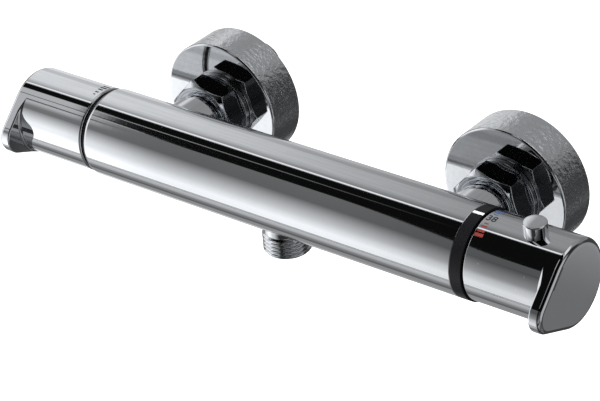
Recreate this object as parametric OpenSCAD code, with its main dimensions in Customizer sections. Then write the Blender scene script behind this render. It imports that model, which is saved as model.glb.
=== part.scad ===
// Thermostatic bar mixer for a shower, wall mounted, in millimetres.
// The origin is on the wall plane, midway between the two inlets, at the height of the bar.
// X runs along the bar towards the temperature handle, Y into the wall, Z up.

/* [Bar body] */
// Distance between the two wall inlets
inlet_spacing = 150; // [145:1:155]
// Distance from the wall to the axis of the bar
wall_to_axis = 60; // [59:0.5:64]
// Diameter of the bar body
body_d = 38.7; // [38.2:0.1:40]
// Overhang of the body past the inlet on the flow handle's side
left_overhang = 27.8; // [26:0.1:33]
// Overhang of the body past the inlet on the temperature handle's side
right_overhang = 15.5; // [14:0.1:19]
// Radius of the rounded shoulder at the body's left end
shoulder_r = 2.6; // [1:0.1:3]
// Edge break at the body's right end
body_edge = 0.4; // [0.2:0.1:0.8]
// Height of the round inlet stub above the bar axis
stub_reach = 25.6; // [24.5:0.1:26.5]
// Diameter of the round inlet stub
stub_d = 24.4; // [23.5:0.1:26]

/* [Handles] */
// Diameter of both handles
handle_d = 37.4; // [36.8:0.1:38]
// Length of both handles
handle_len = 41.2; // [40:0.1:44]
// Wall of the handle skirt
handle_wall = 2.2; // [1.8:0.1:2.4]
// Thickness of the solid end of a handle
handle_end = 7; // [6.8:0.1:8]
// Reach of the grip fin from the handle axis
fin_reach = 27.2; // [25:0.1:30]
// Radius of the tip of the grip fin
fin_tip_r = 8; // [6:0.1:10]
// Thickness of the grip fin
fin_thick = 5.6; // [5:0.1:6.5]
// Radius of the fillet where the grip fin meets the handle
fin_fillet = 1.2; // [0.8:0.1:2]
// Radius of the rounded rim of the end face
rim_round = 2; // [1:0.1:2.4]
// Angle by which the fins point below the horizontal
fin_droop = 11; // [0:1:20]
// Angle of the index mark and the button in front of the vertical
index_tilt = 5; // [0:1:8]
// Free running gap between a handle and what is next to it
handle_gap = 0.35; // [0.3:0.05:0.6]

/* [Index ring and glide ring] */
// Width of the black index ring
ring_len = 5.2; // [4:0.1:6]
// Thickness of the dark glide ring beside the flow handle
glide_len = 0.95; // [0.8:0.05:1.5]
// Inset of the glide ring below the handle's surface
glide_inset = 0.9; // [0.5:0.1:1.5]

/* [Safety button] */
// Diameter of the button
button_d = 9.8; // [8.5:0.1:10.2]
// Height of the button above the handle
button_rise = 5.7; // [4:0.1:7]
// Edge break of the button's top
button_edge = 0.5; // [0.2:0.1:1]
// Distance from the handle's end face to the button
button_back = 17.5; // [16.8:0.1:19]
// Travel of the button when it is pressed
button_travel = 1.2; // [0.8:0.1:1.2]

/* [Outlet] */
// Distance of the hose outlet from the middle, towards the flow handle
outlet_place = 7.2; // [0:0.1:12]
// Outer diameter of the G1/2 outlet thread
outlet_d = 20.96; // [20.5:0.01:21.2]
// Reach of the outlet below the bar axis
outlet_reach = 29.3; // [27:0.1:32]
// Bore of the outlet nipple
outlet_bore_d = 14.2; // [12:0.1:15]

/* [Unions] */
// Width across flats of the union nuts
nut_af = 30; // [29.5:0.1:32]
// Length of a union nut
nut_len = 9.8; // [9.4:0.1:10.2]
// Distance from the bar axis to the front of the nut
nut_place = 28.6; // [28:0.1:29]
// Step from the nut's flats in to the edge of its faces
nut_edge = 0.5; // [0.3:0.1:0.8]
// Thickness of the nut's inner lip
nut_lip = 1.6; // [1.4:0.1:1.8]
// Outer diameter of the G3/4 union thread
union_thread_d = 26.44; // [26.2:0.01:26.6]
// Outer diameter of the plain tube of an inlet tail
tail_d = 21.6; // [21:0.1:22]
// Thickness of the tail's flange
tail_flange = 1.5; // [1.2:0.1:1.6]
// Thickness of the union washer
washer_len = 2; // [1.5:0.1:2.2]

/* [Wall connectors and rosettes] */
// Outer diameter of the G1/2 wall thread
wall_thread_d = 20.96; // [20.5:0.01:21.2]
// Length of wall thread behind the wall plane
wall_thread_len = 14; // [10:0.5:18]
// Offset between the two axes of a wall connector
connector_offset = 7.5; // [4:0.1:9]
// Water bore of a wall connector
connector_bore_d = 13; // [11:0.1:14]
// Diameter of the collar that carries the rosette
collar_d = 29.2; // [28:0.1:29.6]
// Outer diameter of a rosette
rosette_d = 59.4; // [54:0.1:64]
// Depth of a rosette from the wall
rosette_depth = 18.2; // [17.5:0.1:19]
// Sheet thickness of a rosette
rosette_wall = 1.2; // [1:0.1:1.6]
// Radius of the rounded front edge of a rosette
rosette_edge = 1; // [0.5:0.1:1]

/* [Thermostat cartridge] */
// Wall of the body round the cartridge bore
cartridge_wall = 4.85; // [4.6:0.05:5.05]
// Depth of the cartridge bore from the body's right end
cartridge_depth = 56.5; // [56:0.1:60]
// Diameter of the regulating piston
piston_d = 17.8; // [17:0.1:18.4]
// Diameter of the wax element
element_d = 10; // [9:0.1:10.5]
// Diameter of the temperature spindle's stem
stem_d = 8; // [7.5:0.1:8.4]

/* [Ceramic headwork] */
// Diameter of the headwork bore in the body
headwork_bore_d = 17.6; // [17.2:0.1:18]
// Depth of the headwork bore from the body's left end
headwork_depth = 38; // [37:0.5:42]
// Diameter of the ceramic discs
disc_d = 12.4; // [11.5:0.1:12.8]
// Thickness of each ceramic disc
disc_len = 3; // [2.5:0.1:3.2]

/* [Hidden] */
$fn = 96;

// General clearances and small sizes
over = 1;                 // overrun of every cut
fit = 0.1;                // radial gap between fixed pieces that fit in each other
run = 0.08;               // radial gap of running fits
seat = 0.05;              // gap between faces that seat on each other
clear = 0.3;              // gap between moving pieces
min_wall = 1.2;           // least wall of turned pieces
skin = 0.03;              // depth of a flat below the arcs that it runs into

// Radii of the main pieces
body_r = body_d / 2;
handle_r = handle_d / 2;
cavity_r = handle_r - handle_wall;
stub_r = stub_d / 2;
tail_r = tail_d / 2;
union_r = union_thread_d / 2;
cart_r = body_r - cartridge_wall;
head_r = headwork_bore_d / 2;
piston_r = piston_d / 2;
element_r = element_d / 2;
stem_r = stem_d / 2;
disc_r = disc_d / 2;

// Water ways inside the body
way_r = 3.4;                                  // long side passages
mixed_r = 5.4;                                // central mixed water passage
return_r = 2.7;                               // return passage to the outlet
inlet_bore_r = 9.6;                           // bore behind an inlet tail
hot_way = head_r + min_wall + way_r;          // hot passage, behind the headwork bore
back_way = mixed_r + min_wall + return_r;     // return passage, below the mixed passage
inlet_floor = head_r + min_wall;              // bottom of the inlet bores

// Places along the bar, measured from the middle towards the right
inlet_x = inlet_spacing / 2;
body_left = inlet_x + left_overhang;
body_right = inlet_x + right_overhang;
cart_x = body_right - cartridge_depth;
head_x = -(body_left - headwork_depth);
ring_x = body_right + seat;
temp_x = ring_x + ring_len + handle_gap;
glide_x = -(body_left + seat + glide_len);
flow_x = glide_x - handle_gap;

// Places along a union, measured from the bar axis towards the wall
lip_y = nut_place + nut_lip;
flange_y = lip_y + seat;
washer_y = flange_y + tail_flange + seat;
connector_y = washer_y + washer_len + seat;
nut_end_y = nut_place + nut_len;
collar_y = nut_end_y + clear;

// Inlet tail and check valve
tail_bore_r = 7.2;
tail_root_gap = 0.5;
tail_root_y = cart_r + tail_root_gap;
tail_end_y = flange_y + tail_flange;
flange_r = union_r - clear;
check_r = tail_bore_r - fit;
check_bore_r = check_r - min_wall;
check_inset = 1;
check_start_y = tail_root_y + check_inset;
seat_place = 3.6;
seat_y = tail_end_y - seat_place;
seat_hole_r = 3.6;
seat_len = 1.6;
poppet_r = 4.5;
poppet_len = 1.3;
poppet_stem_r = 1.2;
poppet_tail = 0.4;
poppet_travel = 2;
guide_y = check_start_y + poppet_travel + poppet_tail;
guide_len = 1.4;
guide_holes = 6;
guide_hole_r = 0.95;
check_wire_r = 0.3;
check_turns = 4;
check_spring_len = seat_y - poppet_len - guide_y - guide_len - 3 * seat;
strainer_lap = 0.4;
strainer_r = tail_bore_r + strainer_lap;
strainer_cup_r = connector_bore_d / 2 - clear;
strainer_len = 4.2;
strainer_wall = 0.6;
strainer_rim = 0.8;
strainer_slots = 8;
strainer_slot_w = 1;

// Union nut
nut_turn = 12;
nut_chamfer_angle = 30;
nut_face_r = nut_af / 2 - nut_edge;
nut_corner_r = nut_af / sqrt(3);
nut_blank_r = nut_corner_r + over;
nut_chamfer = (nut_blank_r - nut_face_r) * tan(nut_chamfer_angle);
nut_hole_r = tail_r + clear;

// Wall connector
thread_relief = 0.6;
collar_len = 4.4;
neck_r = 12.6;
neck_len = 7.4;
shank_r = 12;
shank_len = 13;
shank_start = wall_to_axis - shank_len;

// Rosette and its seal
rosette_r = rosette_d / 2;
rosette_hole_r = collar_d / 2 + fit;
seal_len = 1.8;
seal_w = 2.6;

// Outlet
outlet_r = outlet_d / 2;
nipple_top = 11.6;
nipple_root_r = 9;
nipple_shoulder = 15.6;
nipple_neck_r = 10.2;
thread_start = 19.6;
nipple_chamfer = 0.9;
outlet_chamber_r = 7.4;
outlet_wire_r = 0.7;
outlet_ring_r = nipple_root_r + seat - outlet_wire_r;
o_ring_place = 13.6;

// Cartridge sleeve
sleeve_r = cart_r - fit;
sleeve_in_r = piston_r + run;
sleeve_wall = 2;
sleeve_waist_r = sleeve_in_r + sleeve_wall;
sleeve_play = 0.6;
sleeve_start = cart_x + sleeve_play;
gland_thread_len = 5.2;
sleeve_end = body_right - gland_thread_len;
sleeve_floor = 2;
land = 2.6;
hot_zone = 9;
mid_land = 15.4;
seal_r = 1;
groove_w = 2.4;
groove_r = sleeve_r - seal_r * 2 + fit;
hot_x = sleeve_start + land;
mid_x = hot_x + hot_zone;
cold_x = mid_x + mid_land;
cold_lap = 2;
cold_zone = inlet_x - cold_x + cold_lap;
port_count = 6;
port_len = 4.6;
port_w = 5;
mid_seal_x = mid_x + mid_land / 2;
end_land_x = cold_x + cold_zone;
end_seal_x = (end_land_x + sleeve_end) / 2;

// Regulating piston, wax element and springs
hot_gap = 1.6;
cold_gap = 0.8;
piston_x = mid_x + hot_gap;
piston_len = mid_land - hot_gap - cold_gap;
piston_wall = 1.4;
web_len = 2.4;
web_x = piston_x + piston_len / 2;
web_hole_r = 1.08;
web_holes = 6;
piston_stem_r = 2;
element_back = 6.4;
element_x = web_x - element_back;
element_len = 15;
element_collar = 0.9;
return_wire_r = 0.5;
return_turns = 4;
return_len = web_x - web_len / 2 - sleeve_start - sleeve_floor - 2 * seat;
return_coil_gap = 1.6;
return_coil_r = element_r + return_coil_gap;
rod_len = 3.4;
cup_x = element_x + element_len + rod_len;
cup_len = 13;
cup_gap = 1.2;
cup_r = piston_r - cup_gap;
cup_wall = 1.2;
cup_floor = 1.4;
overload_wire_r = 0.55;
overload_coil_r = cup_r - cup_wall - overload_wire_r - clear;
overload_turns = 3;
overload_len = 6.4;
cup_play = 0.9;

// Temperature spindle and gland nut
spindle_x = cup_x + cup_floor + overload_len + cup_play;
thread_r = cup_r - cup_wall - clear;
journal_step = 1.1;
journal_r = stem_r + journal_step;
flange_step = 1.6;
spindle_flange_r = thread_r + flange_step;
spindle_flange_len = 1.6;
gland_x = sleeve_end + seat;
gland_counter_len = 4;
spindle_flange_x = gland_x + gland_counter_len - clear - spindle_flange_len;
gland_flange_x = ring_x + ring_len + seat;
gland_flange_len = 2.6;
gland_flange_gap = 0.9;
gland_flange_r = cavity_r - gland_flange_gap;
gland_spigot_r = 8.9;
gland_spigot_len = 9;
gland_tip_x = gland_flange_x + gland_flange_len + gland_spigot_len;
gland_counter_r = spindle_flange_r + clear;
flange_slots = 8;
flange_slot_r = 1.5;

// Handle inside
hub_r = 8;
hub_bore_r = 6.2;
hub_start = 13.6;
insert_r = hub_bore_r - fit;
insert_proud = 0.4;
insert_start = hub_start - insert_proud;
end_wall = 1.8;
hub_bore_end = handle_len - end_wall;
insert_end = hub_bore_end - fit;
insert_bore_r = stem_r + seat;
spline_back = 7.4;
spline_end = handle_len - spline_back;
grub_r = 2;
grub_back = 4.1;
grub_place = handle_len - grub_back;
grub_len = 7.6;
grub_socket_r = 1.15;
grub_socket_len = 2.6;

// Stop ring, button and its carrier
stop_in_r = gland_spigot_r + fit;
stop_wall = 1.6;
stop_r = stop_in_r + stop_wall;
stop_x = gland_flange_x + gland_flange_len + seat;
stop_play = 5.4;
stop_tab_w = 3;
stop_tab_len = 4;
carrier_gap = 1.2;
carrier_in_r = stop_r + carrier_gap;
carrier_wall = 1;
carrier_r = carrier_in_r + carrier_wall;
carrier_back = 6;
button_place = handle_len - button_back;
carrier_start = button_place - carrier_back;
carrier_len = 14.4;
carrier_floor = 1.4;
carrier_floor_x = temp_x + carrier_start + carrier_len - carrier_floor;
stop_len = carrier_floor_x - stop_play - stop_x;
button_r = button_d / 2;
button_hole_r = button_r + run;
button_flange_w = 0.9;
button_flange_r = button_r + button_flange_w;
spot_depth = 0.5;
spot_r = button_flange_r + clear;
button_flange_top = cavity_r + spot_depth - clear;
button_flange_len = 0.8;
button_flange_foot = button_flange_top - button_flange_len;
button_stem_r = 1.9;
button_foot = stop_r + button_travel + clear;
button_wire_r = 0.28;
button_turns = 2;

// Headwork
housing_r = head_r - fit;
housing_play = 0.4;
housing_start = head_x - housing_play;
housing_bore_r = disc_r + fit;
housing_neck_r = stem_r + run;
disc_x = housing_start - min_wall - seat;
fork_len = 5;
fork_x = disc_x - 2 * (disc_len + seat);
neck_x = fork_x - fork_len - clear;
head_flange_x = -(body_left + glide_len + 2 * seat);
head_flange_len = 4;
head_flange_af = 22;
head_window_w = 5;
head_window_len = 5;
head_neck_len = 4.6;
head_tip_x = head_flange_x - head_flange_len - head_neck_len;
head_seal_place = 6;
head_seal_x = -(body_left - head_seal_place);
o_ring_r = 0.9;
circlip_w = 0.9;
circlip_ring = 1.4;
circlip_r = stem_r + circlip_ring;
circlip_x = head_tip_x - clear;
circlip_groove = 0.5;

// Frames: the local Z of each runs along the piece, away from where the piece starts
module right_of(x) translate([x, -wall_to_axis, 0]) rotate([0, 90, 0]) children();
module left_of(x) translate([x, -wall_to_axis, 0]) rotate([0, -90, 0]) children();
module to_wall(side, d) translate([side * inlet_x, d - wall_to_axis, 0]) rotate([-90, 0, 0]) children();
module down(x, d) translate([x, -wall_to_axis, -d]) rotate([180, 0, 0]) children();

module tube(r_out, r_in, len) difference() {
    cylinder(r = r_out, h = len);
    translate([0, 0, -over]) cylinder(r = r_in, h = len + 2 * over);
}

// A torus seal lying square to Z
module ring_seal(r, wire) rotate_extrude() translate([r, 0]) circle(wire, $fn = 32);

// A cylinder whose far rim is rounded
module rounded_end(r, len, edge) rotate_extrude() union() {
    square([r - edge, len]);
    square([r, len - edge]);
    translate([r - edge, len - edge]) intersection() {
        circle(edge);
        square(edge);
    }
}

// A cylinder with a chamfer at its far end
module chamfered(r, len, edge) union() {
    cylinder(r = r, h = len - edge);
    translate([0, 0, len - edge]) cylinder(r1 = r, r2 = r - edge, h = edge);
}

// A compression spring of round wire, with its axis on Z, of wire ends at 0 and len
function coil_point(r, wire, len, turns, i, k, steps, sides) =
    let (a = 360 * turns * i / steps, b = 360 * k / sides,
         rr = r + wire * cos(b), z = wire + (len - 2 * wire) * i / steps + wire * sin(b))
    [rr * cos(a), rr * sin(a), z];
module coil(r, wire, len, turns) {
    sides = 6;
    steps = 12 * turns;
    points = [for (i = [0:steps], k = [0:sides - 1]) coil_point(r, wire, len, turns, i, k, steps, sides)];
    walls = [for (i = [0:steps - 1], k = [0:sides - 1], t = [0:1])
        let (a = i * sides + k, b = i * sides + (k + 1) % sides, c = a + sides, d = b + sides)
        t == 0 ? [a, b, c] : [b, d, c]];
    first = [for (k = [1:sides - 2]) [0, k + 1, k]];
    last = [for (k = [1:sides - 2]) [0, k, k + 1] + [steps * sides, steps * sides, steps * sides]];
    polyhedron(points, concat(walls, first, last));
}

// Bar body with its inlet stubs, bores and water ways
module body_shell() color("silver") difference() {
    union() {
        left_of(0) rounded_end(body_r, body_left, shoulder_r);
        right_of(0) chamfered(body_r, body_right, body_edge);
        for (side = [-1, 1]) to_wall(side, 0) rounded_end(stub_r, stub_reach, body_edge);
    }
    right_of(cart_x) cylinder(r = cart_r, h = cartridge_depth + over);
    left_of(head_x) cylinder(r = head_r, h = headwork_depth + over);
    left_of(cart_x + over) cylinder(r = mixed_r, h = cart_x - head_x + 2 * over);
    for (side = [-1, 1]) to_wall(side, inlet_floor)
        cylinder(r = inlet_bore_r, h = stub_reach - inlet_floor + over);
    translate([0, hot_way, 0]) right_of(-inlet_x) cylinder(r = way_r, h = inlet_x + hot_x + hot_zone / 2);
    translate([0, 0, -back_way]) left_of(-outlet_place)
        cylinder(r = return_r, h = body_left - outlet_place - headwork_depth / 2);
    down(-outlet_place, mixed_r + min_wall + seat) cylinder(r = outlet_chamber_r, h = nipple_shoulder);
    down(-outlet_place, nipple_top - seat) cylinder(r = nipple_root_r + fit, h = body_r);
    down(-outlet_place, nipple_shoulder - seat) cylinder(r = nipple_neck_r + fit, h = body_r);
}

// Black ring that carries the index mark
module index_ring() color("dimgray") right_of(ring_x) tube(body_r, cart_r + clear, ring_len);

// Dark ring that the flow handle glides on
module glide_ring() color("dimgray") left_of(-(body_left + seat))
    tube(handle_r - glide_inset, head_r + min_wall, glide_len);

// Hose outlet: plain collar, thread and hose seat, screwed into the body from below
module outlet_nipple() color("silver") difference() {
    union() {
        down(-outlet_place, nipple_top) cylinder(r = nipple_root_r, h = nipple_shoulder - nipple_top + seat);
        down(-outlet_place, nipple_shoulder)
            cylinder(r = nipple_neck_r, h = thread_start - nipple_shoulder + seat);
        down(-outlet_place, thread_start) chamfered(outlet_r, outlet_reach - thread_start, nipple_chamfer);
    }
    down(-outlet_place, 0) cylinder(r = outlet_bore_d / 2, h = outlet_reach + over);
    down(-outlet_place, o_ring_place) ring_seal(outlet_ring_r, outlet_wire_r);
}
module outlet_o_ring() color("black") down(-outlet_place, o_ring_place)
    ring_seal(outlet_ring_r, outlet_wire_r - seat);

// Inlet tail: screwed into the stub, with the flange that the union nut pulls on
module inlet_tail(side) color("silver") to_wall(side, 0) difference() {
    union() {
        translate([0, 0, tail_root_y]) cylinder(r = inlet_bore_r - fit, h = stub_reach - tail_root_y + seat);
        translate([0, 0, stub_reach + seat]) cylinder(r = tail_r, h = tail_end_y - stub_reach - seat);
        translate([0, 0, flange_y]) cylinder(r = flange_r, h = tail_flange);
    }
    cylinder(r = tail_bore_r, h = tail_end_y + over);
}

// Union nut: six flats, chamfered corners at both ends, inner lip and threaded bore
module union_nut(side) color("silver") to_wall(side, nut_place) difference() {
    intersection() {
        rotate([0, 0, nut_turn]) cylinder(r = nut_corner_r, h = nut_len, $fn = 6);
        rotate_extrude() polygon([[0, 0], [nut_face_r, 0], [nut_blank_r, nut_chamfer],
            [nut_blank_r, nut_len - nut_chamfer], [nut_face_r, nut_len], [0, nut_len]]);
    }
    translate([0, 0, -over]) cylinder(r = nut_hole_r, h = nut_len);
    translate([0, 0, nut_lip]) cylinder(r = union_r + fit, h = nut_len);
}
module union_washer(side) color("black") to_wall(side, washer_y)
    tube(flange_r - seat, strainer_r + clear, washer_len);

// Strainer: a slotted cup whose rim seats inside the washer
module inlet_strainer(side) color("lightgray") to_wall(side, washer_y) difference() {
    union() {
        cylinder(r = strainer_r, h = strainer_rim);
        cylinder(r = strainer_cup_r, h = strainer_len);
    }
    translate([0, 0, -over])
        cylinder(r = strainer_cup_r - strainer_wall, h = strainer_len + over - strainer_wall);
    for (i = [0:strainer_slots / 2 - 1]) rotate([0, 0, 360 * i / strainer_slots])
        translate([-strainer_r, -strainer_slot_w / 2, strainer_rim + strainer_wall])
            cube([2 * strainer_r, strainer_slot_w, strainer_len - strainer_rim - 3 * strainer_wall]);
}

// Check valve: housing with a seat and a guide, poppet and spring
module check_housing(side) color("ivory") to_wall(side, 0) difference() {
    translate([0, 0, check_start_y]) cylinder(r = check_r, h = tail_end_y - check_start_y - seat);
    cylinder(r = check_bore_r, h = guide_y);
    translate([0, 0, guide_y + guide_len]) cylinder(r = check_bore_r, h = seat_y - guide_y - guide_len);
    translate([0, 0, seat_y - over]) cylinder(r = seat_hole_r, h = seat_len + 2 * over);
    translate([0, 0, seat_y + seat_len]) cylinder(r = check_bore_r, h = tail_end_y);
    cylinder(r = poppet_stem_r + run, h = seat_y);
    for (i = [0:guide_holes - 1]) rotate([0, 0, 360 * i / guide_holes])
        translate([(check_bore_r + poppet_stem_r) / 2, 0, 0]) cylinder(r = guide_hole_r, h = seat_y);
}
module check_poppet(side) color("white") to_wall(side, 0) union() {
    translate([0, 0, seat_y - poppet_len - seat]) cylinder(r = poppet_r, h = poppet_len);
    translate([0, 0, guide_y - poppet_tail])
        cylinder(r = poppet_stem_r, h = seat_y - guide_y - poppet_len / 2);
}
module check_spring(side) color("gray") to_wall(side, guide_y + guide_len + seat)
    coil((poppet_r + poppet_stem_r) / 2, check_wire_r, check_spring_len, check_turns);

// Wall connector: union thread, rosette collar, neck, offset shank and wall thread
module wall_connector(side) color("silver") difference() {
    union() {
        to_wall(side, connector_y) cylinder(r = union_r, h = nut_end_y - connector_y - thread_relief);
        to_wall(side, connector_y) cylinder(r = union_r - thread_relief, h = collar_y - connector_y + seat);
        to_wall(side, collar_y) cylinder(r = collar_d / 2, h = collar_len);
        to_wall(side, collar_y) cylinder(r = neck_r, h = collar_len + neck_len);
        translate([0, 0, connector_offset]) {
            to_wall(side, shank_start) cylinder(r = shank_r, h = shank_len - seal_len);
            to_wall(side, shank_start)
                chamfered(wall_thread_d / 2, shank_len + wall_thread_len, nipple_chamfer);
        }
    }
    to_wall(side, 0) cylinder(r = connector_bore_d / 2, h = collar_y + collar_len + neck_len - min_wall);
    translate([0, 0, connector_offset]) to_wall(side, shank_start + min_wall)
        cylinder(r = connector_bore_d / 2, h = wall_to_axis + wall_thread_len);
}

// Rosette: a deep turned shell that screws onto the connector's collar
module rosette(side) color("silver") to_wall(side, wall_to_axis) rotate([180, 0, 0]) difference() {
    rounded_end(rosette_r, rosette_depth, rosette_edge);
    translate([0, 0, -over]) cylinder(r = rosette_r - rosette_wall, h = rosette_depth - rosette_wall + over);
    cylinder(r = rosette_hole_r, h = rosette_depth + over);
}
module rosette_seal(side) color("black") to_wall(side, wall_to_axis - seal_len)
    tube(rosette_r - rosette_wall - fit, rosette_r - rosette_wall - seal_w, seal_len);

// Cartridge sleeve: three sealing lands, two waists with ports, and an open mixed water end
module cartridge_sleeve() color("goldenrod") difference() {
    union() {
        right_of(sleeve_start) cylinder(r = sleeve_waist_r, h = sleeve_end - sleeve_start);
        right_of(sleeve_start) cylinder(r = sleeve_r, h = land);
        right_of(mid_x) cylinder(r = sleeve_r, h = mid_land);
        right_of(end_land_x) cylinder(r = sleeve_r, h = sleeve_end - end_land_x);
    }
    right_of(sleeve_start + sleeve_floor) cylinder(r = sleeve_in_r, h = sleeve_end);
    right_of(sleeve_start - over) cylinder(r = mixed_r, h = sleeve_floor + 2 * over);
    for (x = [hot_x + hot_zone / 2, cold_x + cold_zone / 2], i = [0:port_count / 2 - 1])
        right_of(x) rotate([0, 0, 360 * i / port_count])
            translate([-sleeve_r, -port_w / 2, -port_len / 2]) cube([2 * sleeve_r, port_w, port_len]);
    for (x = [mid_seal_x, end_seal_x]) right_of(x - groove_w / 2) difference() {
        cylinder(r = sleeve_r + over, h = groove_w);
        cylinder(r = groove_r, h = groove_w);
    }
}
module cartridge_o_rings() color("black") for (x = [mid_seal_x, end_seal_x])
    right_of(x) ring_seal(groove_r + seal_r + seat / 2, seal_r - seat / 2);

// Piston that shares the flow between the hot and the cold port
module regulating_piston() color("tan") right_of(piston_x) difference() {
    cylinder(r = piston_r, h = piston_len);
    translate([0, 0, -over]) cylinder(r = piston_r - piston_wall, h = (piston_len - web_len) / 2 + over);
    translate([0, 0, (piston_len + web_len) / 2]) cylinder(r = piston_r - piston_wall, h = piston_len);
    cylinder(r = element_r + seat, h = piston_len);
    for (i = [0:web_holes - 1]) rotate([0, 0, 360 * i / web_holes])
        translate([(piston_r - piston_wall + element_r) / 2, 0, 0])
            cylinder(r = web_hole_r, h = piston_len);
}

// Wax element: capsule, collar that seats on the piston's web, and push rod
module wax_element() color("chocolate") right_of(element_x) union() {
    rounded_end(element_r, element_len, rim_round / 2);
    translate([0, 0, web_x - element_x + web_len / 2 + seat])
        cylinder(r = element_r + element_collar, h = min_wall);
    cylinder(r = piston_stem_r, h = cup_x - element_x - seat);
}
module return_spring() color("gray") right_of(sleeve_start + sleeve_floor + seat)
    coil(return_coil_r, return_wire_r, return_len, return_turns);

// Overload cup and spring, between the push rod and the spindle's thread
module overload_cup() color("goldenrod") right_of(cup_x) difference() {
    cylinder(r = cup_r, h = cup_len);
    translate([0, 0, cup_floor]) cylinder(r = cup_r - cup_wall, h = cup_len);
}
module overload_spring() color("gray") right_of(cup_x + cup_floor + seat)
    coil(overload_coil_r, overload_wire_r, overload_len - 2 * seat, overload_turns);

// Spindle: thread in the cup, flange behind the gland, journal and splined stem
module temperature_spindle() color("goldenrod") union() {
    right_of(spindle_x) cylinder(r = thread_r, h = spindle_flange_x - spindle_x + seat);
    right_of(spindle_flange_x) cylinder(r = spindle_flange_r, h = spindle_flange_len);
    right_of(spindle_flange_x) cylinder(r = journal_r, h = gland_tip_x - spindle_flange_x + clear);
    right_of(spindle_flange_x) cylinder(r = stem_r, h = temp_x + spline_end - spindle_flange_x);
}

// Gland nut: screws into the body, holds the sleeve and clamps the index ring
module gland_nut() color("goldenrod") difference() {
    union() {
        right_of(gland_x) cylinder(r = cart_r - fit, h = gland_flange_x - gland_x + seat);
        right_of(gland_flange_x) cylinder(r = gland_flange_r, h = gland_flange_len);
        right_of(gland_flange_x) cylinder(r = gland_spigot_r, h = gland_flange_len + gland_spigot_len);
    }
    right_of(gland_x - over) cylinder(r = gland_counter_r, h = gland_counter_len + over);
    right_of(gland_x) cylinder(r = journal_r + run, h = gland_tip_x);
    for (i = [0:flange_slots - 1]) right_of(gland_flange_x + min_wall) rotate([0, 0, 360 * i / flange_slots])
        translate([gland_flange_r, 0, 0]) cylinder(r = flange_slot_r, h = gland_flange_len);
}

// Fixed stop ring on the gland, with the tab that marks the 38 degree stop
module stop_ring() color("white") right_of(stop_x) difference() {
    union() {
        cylinder(r = stop_r, h = stop_len);
        rotate([0, 0, 90]) translate([0, -stop_tab_w / 2, 0])
            cube([stop_r + 2 * clear, stop_tab_w, stop_tab_len]);
    }
    translate([0, 0, -over]) cylinder(r = stop_in_r, h = stop_len + 2 * over);
}

// Handle outline in its own frame: the open end at 0, the fin along X
fin_centre = fin_reach - fin_tip_r;
fin_slope = acos((handle_r - fin_tip_r) / fin_centre);
fin_side = fin_centre * sin(fin_slope);
fin_start = handle_len - fin_thick;
fin_flat = handle_r - skin;
fin_lap = sqrt(fin_tip_r * skin);
fin_inner = fin_tip_r / 2;
module fin_outline() union() {
    circle(handle_r);
    translate([fin_centre, 0]) circle(fin_tip_r);
    for (s = [0, 1]) mirror([0, s]) rotate(fin_slope) translate([fin_inner, -fin_side - fin_lap])
        square([fin_flat - fin_inner, fin_side + 2 * fin_lap]);
}
module fin_plate() union() {
    rounded_end(handle_r, fin_thick, rim_round);
    translate([fin_centre, 0, 0]) rounded_end(fin_tip_r, fin_thick, rim_round);
    for (s = [0, 1]) mirror([0, s, 0]) rotate([0, 0, fin_slope]) translate([0, fin_lap, 0]) rotate([90, 0, 0])
        linear_extrude(fin_side + 2 * fin_lap) union() {
            translate([fin_inner, 0]) square([fin_flat - rim_round - fin_inner, fin_thick]);
            translate([fin_inner, 0]) square([fin_flat - fin_inner, fin_thick - rim_round]);
            translate([fin_flat - rim_round, fin_thick - rim_round]) intersection() {
                circle(rim_round);
                square(rim_round);
            }
        }
}

// Concave fillet behind the fin, turned about the handle and trimmed to the fin
module fin_hollow() translate([0, 0, fin_start - fin_fillet]) intersection() {
    rotate_extrude() difference() {
        square([handle_r + fin_fillet, fin_fillet + seat]);
        translate([handle_r + fin_fillet, 0]) circle(fin_fillet);
    }
    linear_extrude(fin_fillet + seat) fin_outline();
}
module handle_blank() difference() {
    union() {
        cylinder(r = handle_r, h = fin_start + seat);
        translate([0, 0, fin_start]) fin_plate();
        fin_hollow();
    }
    difference() {
        translate([0, 0, -over]) cylinder(r = cavity_r, h = handle_len - handle_end + over);
        translate([0, 0, hub_start]) cylinder(r = hub_r, h = handle_len);
    }
    cylinder(r = hub_bore_r, h = hub_bore_end);
}
module grub_hole(angle) rotate([0, 0, angle]) translate([0, 0, grub_place]) rotate([0, 90, 0])
    cylinder(r = grub_r + seat, h = handle_r + fin_fillet);
module grub_screw(angle) rotate([0, 0, angle]) translate([insert_r + seat, 0, grub_place])
    rotate([0, 90, 0]) difference() {
        cylinder(r = grub_r, h = grub_len);
        translate([0, 0, grub_len - grub_socket_len]) cylinder(r = grub_socket_r, h = grub_len, $fn = 6);
    }

// Turns of the two handles about their own axes, and of what sits on them
temp_turn = fin_droop - 90;
flow_turn = -90 - fin_droop;
button_turn = 180 + index_tilt;
under_temp = -temp_turn;
under_flow = 180 - flow_turn;

module temp_handle() color("silver") right_of(temp_x) difference() {
    rotate([0, 0, temp_turn]) difference() {
        handle_blank();
        grub_hole(under_temp);
    }
    rotate([0, 0, button_turn]) translate([0, 0, button_place]) rotate([0, 90, 0]) {
        cylinder(r = button_hole_r, h = handle_r + over);
        cylinder(r = spot_r, h = cavity_r + spot_depth);
    }
}
module insert_piece() difference() {
    translate([0, 0, insert_start]) cylinder(r = insert_r, h = insert_end - insert_start);
    cylinder(r = insert_bore_r, h = spline_end + clear);
}
module temp_insert() color("ivory") right_of(temp_x) insert_piece();
module temp_grub_screw() color("gray") right_of(temp_x) rotate([0, 0, temp_turn]) grub_screw(under_temp);

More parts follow.
